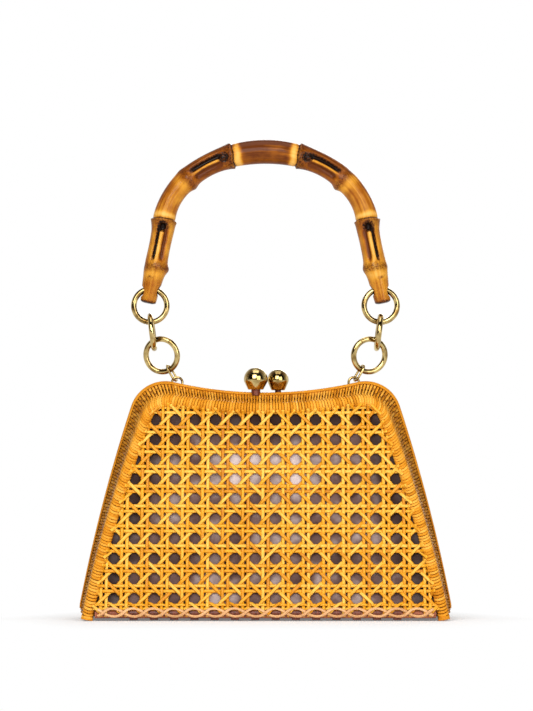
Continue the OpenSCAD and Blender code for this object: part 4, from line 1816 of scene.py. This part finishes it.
@dataclass
class BallClasp:
    """The ball clasp: two turned balls on stems."""

    finishes: Finishes
    balls: tuple[BallSize, ...] = (
        BallSize(Side.FRONT, 8.4, 5.4, 0.93, 2.9),
        BallSize(Side.BACK, 7.5, 4.8, 0.99, 3.2),
    )
    pole_deg: float = 89.5
    cone_from_deg: float = -10.0
    bead_from_deg: float = 20.0
    bead_r: float = 0.5
    pole_r: float = 0.02
    around: int = 72

    def ball(self, size: BallSize, at: Array) -> Patch:
        """A turned ball: an arc from the top to below its middle, a cone, and a rounded flat.

        Args:
            size: its measures.
            at: the middle of its flat.

        Returns:
            The ball, closed at both poles.
        """
        a = np.radians(np.linspace(self.pole_deg, self.cone_from_deg, 44))
        middle = 2 * size.r * size.ratio - size.r
        arc = np.stack([size.r * np.cos(a), middle + size.r * np.sin(a)], -1)
        w = np.linspace(0, 1, 12)[1:-1, None]
        cone = arc[-1] + w * (np.array([size.flat_r, 0.0]) - arc[-1])
        b = np.radians(np.linspace(self.bead_from_deg, 90, 8))
        bead = np.stack([size.flat_r - self.bead_r + self.bead_r * np.cos(b),
                         self.bead_r - self.bead_r * np.sin(b)], -1)
        profile = np.concatenate([arc, cone, bead, [[self.pole_r, 0.0]]])
        c = np.arange(self.around) / self.around * TAU
        out, up = profile[:, :1], profile[:, 1:]
        p = np.stack([out * np.cos(c), out * np.sin(c), up + 0 * c], -1).reshape(-1, 3) + at
        return Patch(p, tube_faces(1, len(profile), self.around), p, np.zeros(len(p))).outward()

    def build(self) -> None:
        """Makes the balls, each a drop below the construction's own, and dresses the stems."""
        for size in self.balls:
            side = size.side
            node = f"{side.prefix}_clasp_ball"
            low, high = (np.array(c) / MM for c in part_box(node))
            middle = (low + high) / 2
            patch = self.ball(size, np.array([middle[0], middle[1], low[2] - size.drop]))
            piece = patch.build(f"{node}_shell", self.finishes.brass)
            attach(piece, side.body)
            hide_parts(node)
            dress(f"{side.prefix}_clasp_stem", self.finishes.stem)


@dataclass
class BaseAndHinge:
    """The base, its rods and the lashings that the front rod turns in."""

    finishes: Finishes

    def build(self) -> None:
        """Dresses the construction's own pieces."""
        dress("base_panel", self.finishes.base)
        for side in Side:
            dress(f"{side.prefix}_bottom_rod", self.finishes.stick)
            # The lashings take the darker stem finish as painted shade: they sit low under the rod, where
            # the underside is in shadow.
            dress(f"{side.prefix}_lashings", self.finishes.stem)


@dataclass
class Studio:
    """A white studio: a floor that keeps the shadow, soft lamps and a low camera."""

    camera_at: Triple = (0.0007, -2.2, 0.08)
    aim_z: float = 0.1842
    view_h: float = 0.4983
    sensor: float = 36.0
    floor_half: float = 3.0
    floor_shine: float = 0.2
    level: float = 0.2
    dark_ways: tuple[tuple[str, float, float, float, float], ...] = (
        ("Y", -0.35, 0.45, 0.02, 1.0),
        ("Z", 0.25, 0.8, 1.0, 0.3),
    )
    lamp_aim: Triple = (0.0, 0.0, 0.16)
    lamps: tuple[tuple[str, Triple, float, float], ...] = (
        ("key", (-0.3, -1.3, 0.8), 0.9, 15.5),
        ("fill", (0.6, -1.15, 0.45), 0.8, 7.2),
        ("top", (0.0, -0.1, 1.25), 0.8, 4.0),
        ("back", (0.25, 1.5, 0.8), 0.8, 9.0),
    )

    def floor(self) -> None:
        """A white floor that takes light and shadow under the bag, and shines further away from it."""
        s = self.floor_half * np.array([[-1, -1, 0], [1, -1, 0], [1, 1, 0], [-1, 1, 0]]) / MM
        sketch = Sketch("floor")
        tree = sketch.tree
        sketch.surface(Base_Color=(0.95, 0.95, 0.95, 1.0), Roughness=0.9)
        sketch.shader.inputs["Specular IOR Level"].default_value = 0.0
        shine = sketch.node("ShaderNodeEmission")
        shine.inputs["Color"].default_value = (1.0, 1.0, 1.0, 1.0)
        shine.inputs["Strength"].default_value = 1.0
        path = sketch.node("ShaderNodeLightPath")
        seen = sketch.math("MAXIMUM", path.outputs["Is Camera Ray"], path.outputs["Is Glossy Ray"])
        seen = sketch.math("MAXIMUM", seen, path.outputs["Is Transmission Ray"])
        split = sketch.node("ShaderNodeSeparateXYZ")
        sketch.feed(sketch.place((1.0, 1.0, 1.0)), split.inputs[0])
        beside = sketch.span(sketch.math("ABSOLUTE", split.outputs["X"]), 0.12, 0.22, 0.0, 0.25)
        before = sketch.math("ABSOLUTE", split.outputs["Y"])
        share = sketch.span(sketch.math("ADD", beside, before), 0.05, 0.2, self.floor_shine, 1.0)
        blend = sketch.node("ShaderNodeMixShader")
        sketch.feed(sketch.math("MULTIPLY", seen, share), blend.inputs[0])
        sketch.feed(sketch.shader.outputs[0], blend.inputs[1])
        sketch.feed(shine.outputs[0], blend.inputs[2])
        tree.links.new(blend.outputs[0], tree.nodes["Material Output"].inputs["Surface"])
        patch = Patch(s, [np.array([[0, 1, 2, 3]])], s * 0.0, np.zeros(4))
        patch.build("floor", sketch.material)

    def world(self) -> None:
        """A soft grey world that the camera sees as white, and the metal as a room with dark sides."""
        world = bpy.data.worlds.new("studio")
        world.use_nodes = True
        tree = world.node_tree
        ground = tree.nodes["Background"]
        ground.inputs["Color"].default_value = (1.0, 1.0, 1.0, 1.0)
        way = tree.nodes.new("ShaderNodeTexCoord")
        split = tree.nodes.new("ShaderNodeSeparateXYZ")
        tree.links.new(way.outputs["Generated"], split.inputs[0])
        room = tree.nodes.new("ShaderNodeMath")
        room.operation = "MULTIPLY"
        for socket, (axis, *ends) in zip(room.inputs, self.dark_ways):
            part = tree.nodes.new("ShaderNodeMapRange")
            for key, value in zip(("From Min", "From Max", "To Min", "To Max"), ends):
                part.inputs[key].default_value = value
            tree.links.new(split.outputs[axis], part.inputs["Value"])
            tree.links.new(part.outputs[0], socket)
        path = tree.nodes.new("ShaderNodeLightPath")
        level = self.level
        rays = (("Is Glossy Ray", room.outputs[0]), ("Is Transmission Ray", 1.0), ("Is Camera Ray", 1.0))
        for ray, strength in rays:
            step = tree.nodes.new("ShaderNodeMix")
            tree.links.new(path.outputs[ray], step.inputs[0])
            for value, socket in ((level, step.inputs[2]), (strength, step.inputs[3])):
                if isinstance(value, float):
                    socket.default_value = value
                else:
                    tree.links.new(value, socket)
            level = step.outputs[0]
        tree.links.new(level, ground.inputs["Strength"])
        bpy.context.scene.world = world

    def lights(self) -> None:
        """Square lamps turned to the bag's middle."""
        for name, at, size, power in self.lamps:
            lamp = bpy.data.lights.new(name, "AREA")
            lamp.size = size
            lamp.energy = power
            piece = bpy.data.objects.new(name, lamp)
            piece.location = at
            aim = np.array(self.lamp_aim) - np.array(at)
            flat = math.hypot(aim[0], aim[1])
            piece.rotation_euler = (math.atan2(flat, -aim[2]), 0.0, math.atan2(-aim[0], aim[1]))
            bpy.context.scene.collection.objects.link(piece)

    def camera(self) -> None:
        """A low camera in front of the bag, tipped up a little to the middle of the picture."""
        camera = bpy.data.cameras.new("camera")
        camera.sensor_width = self.sensor
        camera.lens = self.sensor * -self.camera_at[1] / self.view_h
        piece = bpy.data.objects.new("camera", camera)
        piece.location = self.camera_at
        tip = math.atan2(self.aim_z - self.camera_at[2], -self.camera_at[1])
        piece.rotation_euler = (math.pi / 2 + tip, 0.0, 0.0)
        bpy.context.scene.collection.objects.link(piece)
        bpy.context.scene.camera = piece

    def build(self) -> None:
        """Makes the studio."""
        self.floor()
        self.world()
        self.lights()
        self.camera()
        bpy.context.scene.view_settings.view_transform = "Standard"


def main() -> None:
    """Builds every sub-assembly in order."""
    logging.basicConfig(level=logging.INFO, format="%(message)s")
    finishes = Finishes()
    shell = HalfShell()
    for side in Side:
        WickerWall(side, shell, finishes).build()
        CaneWebbing(side, shell, finishes).build()
        ClothLining(side, shell, finishes).build()
    BaseSheet(finishes).build()
    BaseAndHinge(finishes).build()
    BallClasp(finishes).build()
    for hand in Hand:
        RingChain(hand, finishes).build()
    BambooHandle(finishes).build()
    Studio().build()


if __name__ == "__main__":
    main()
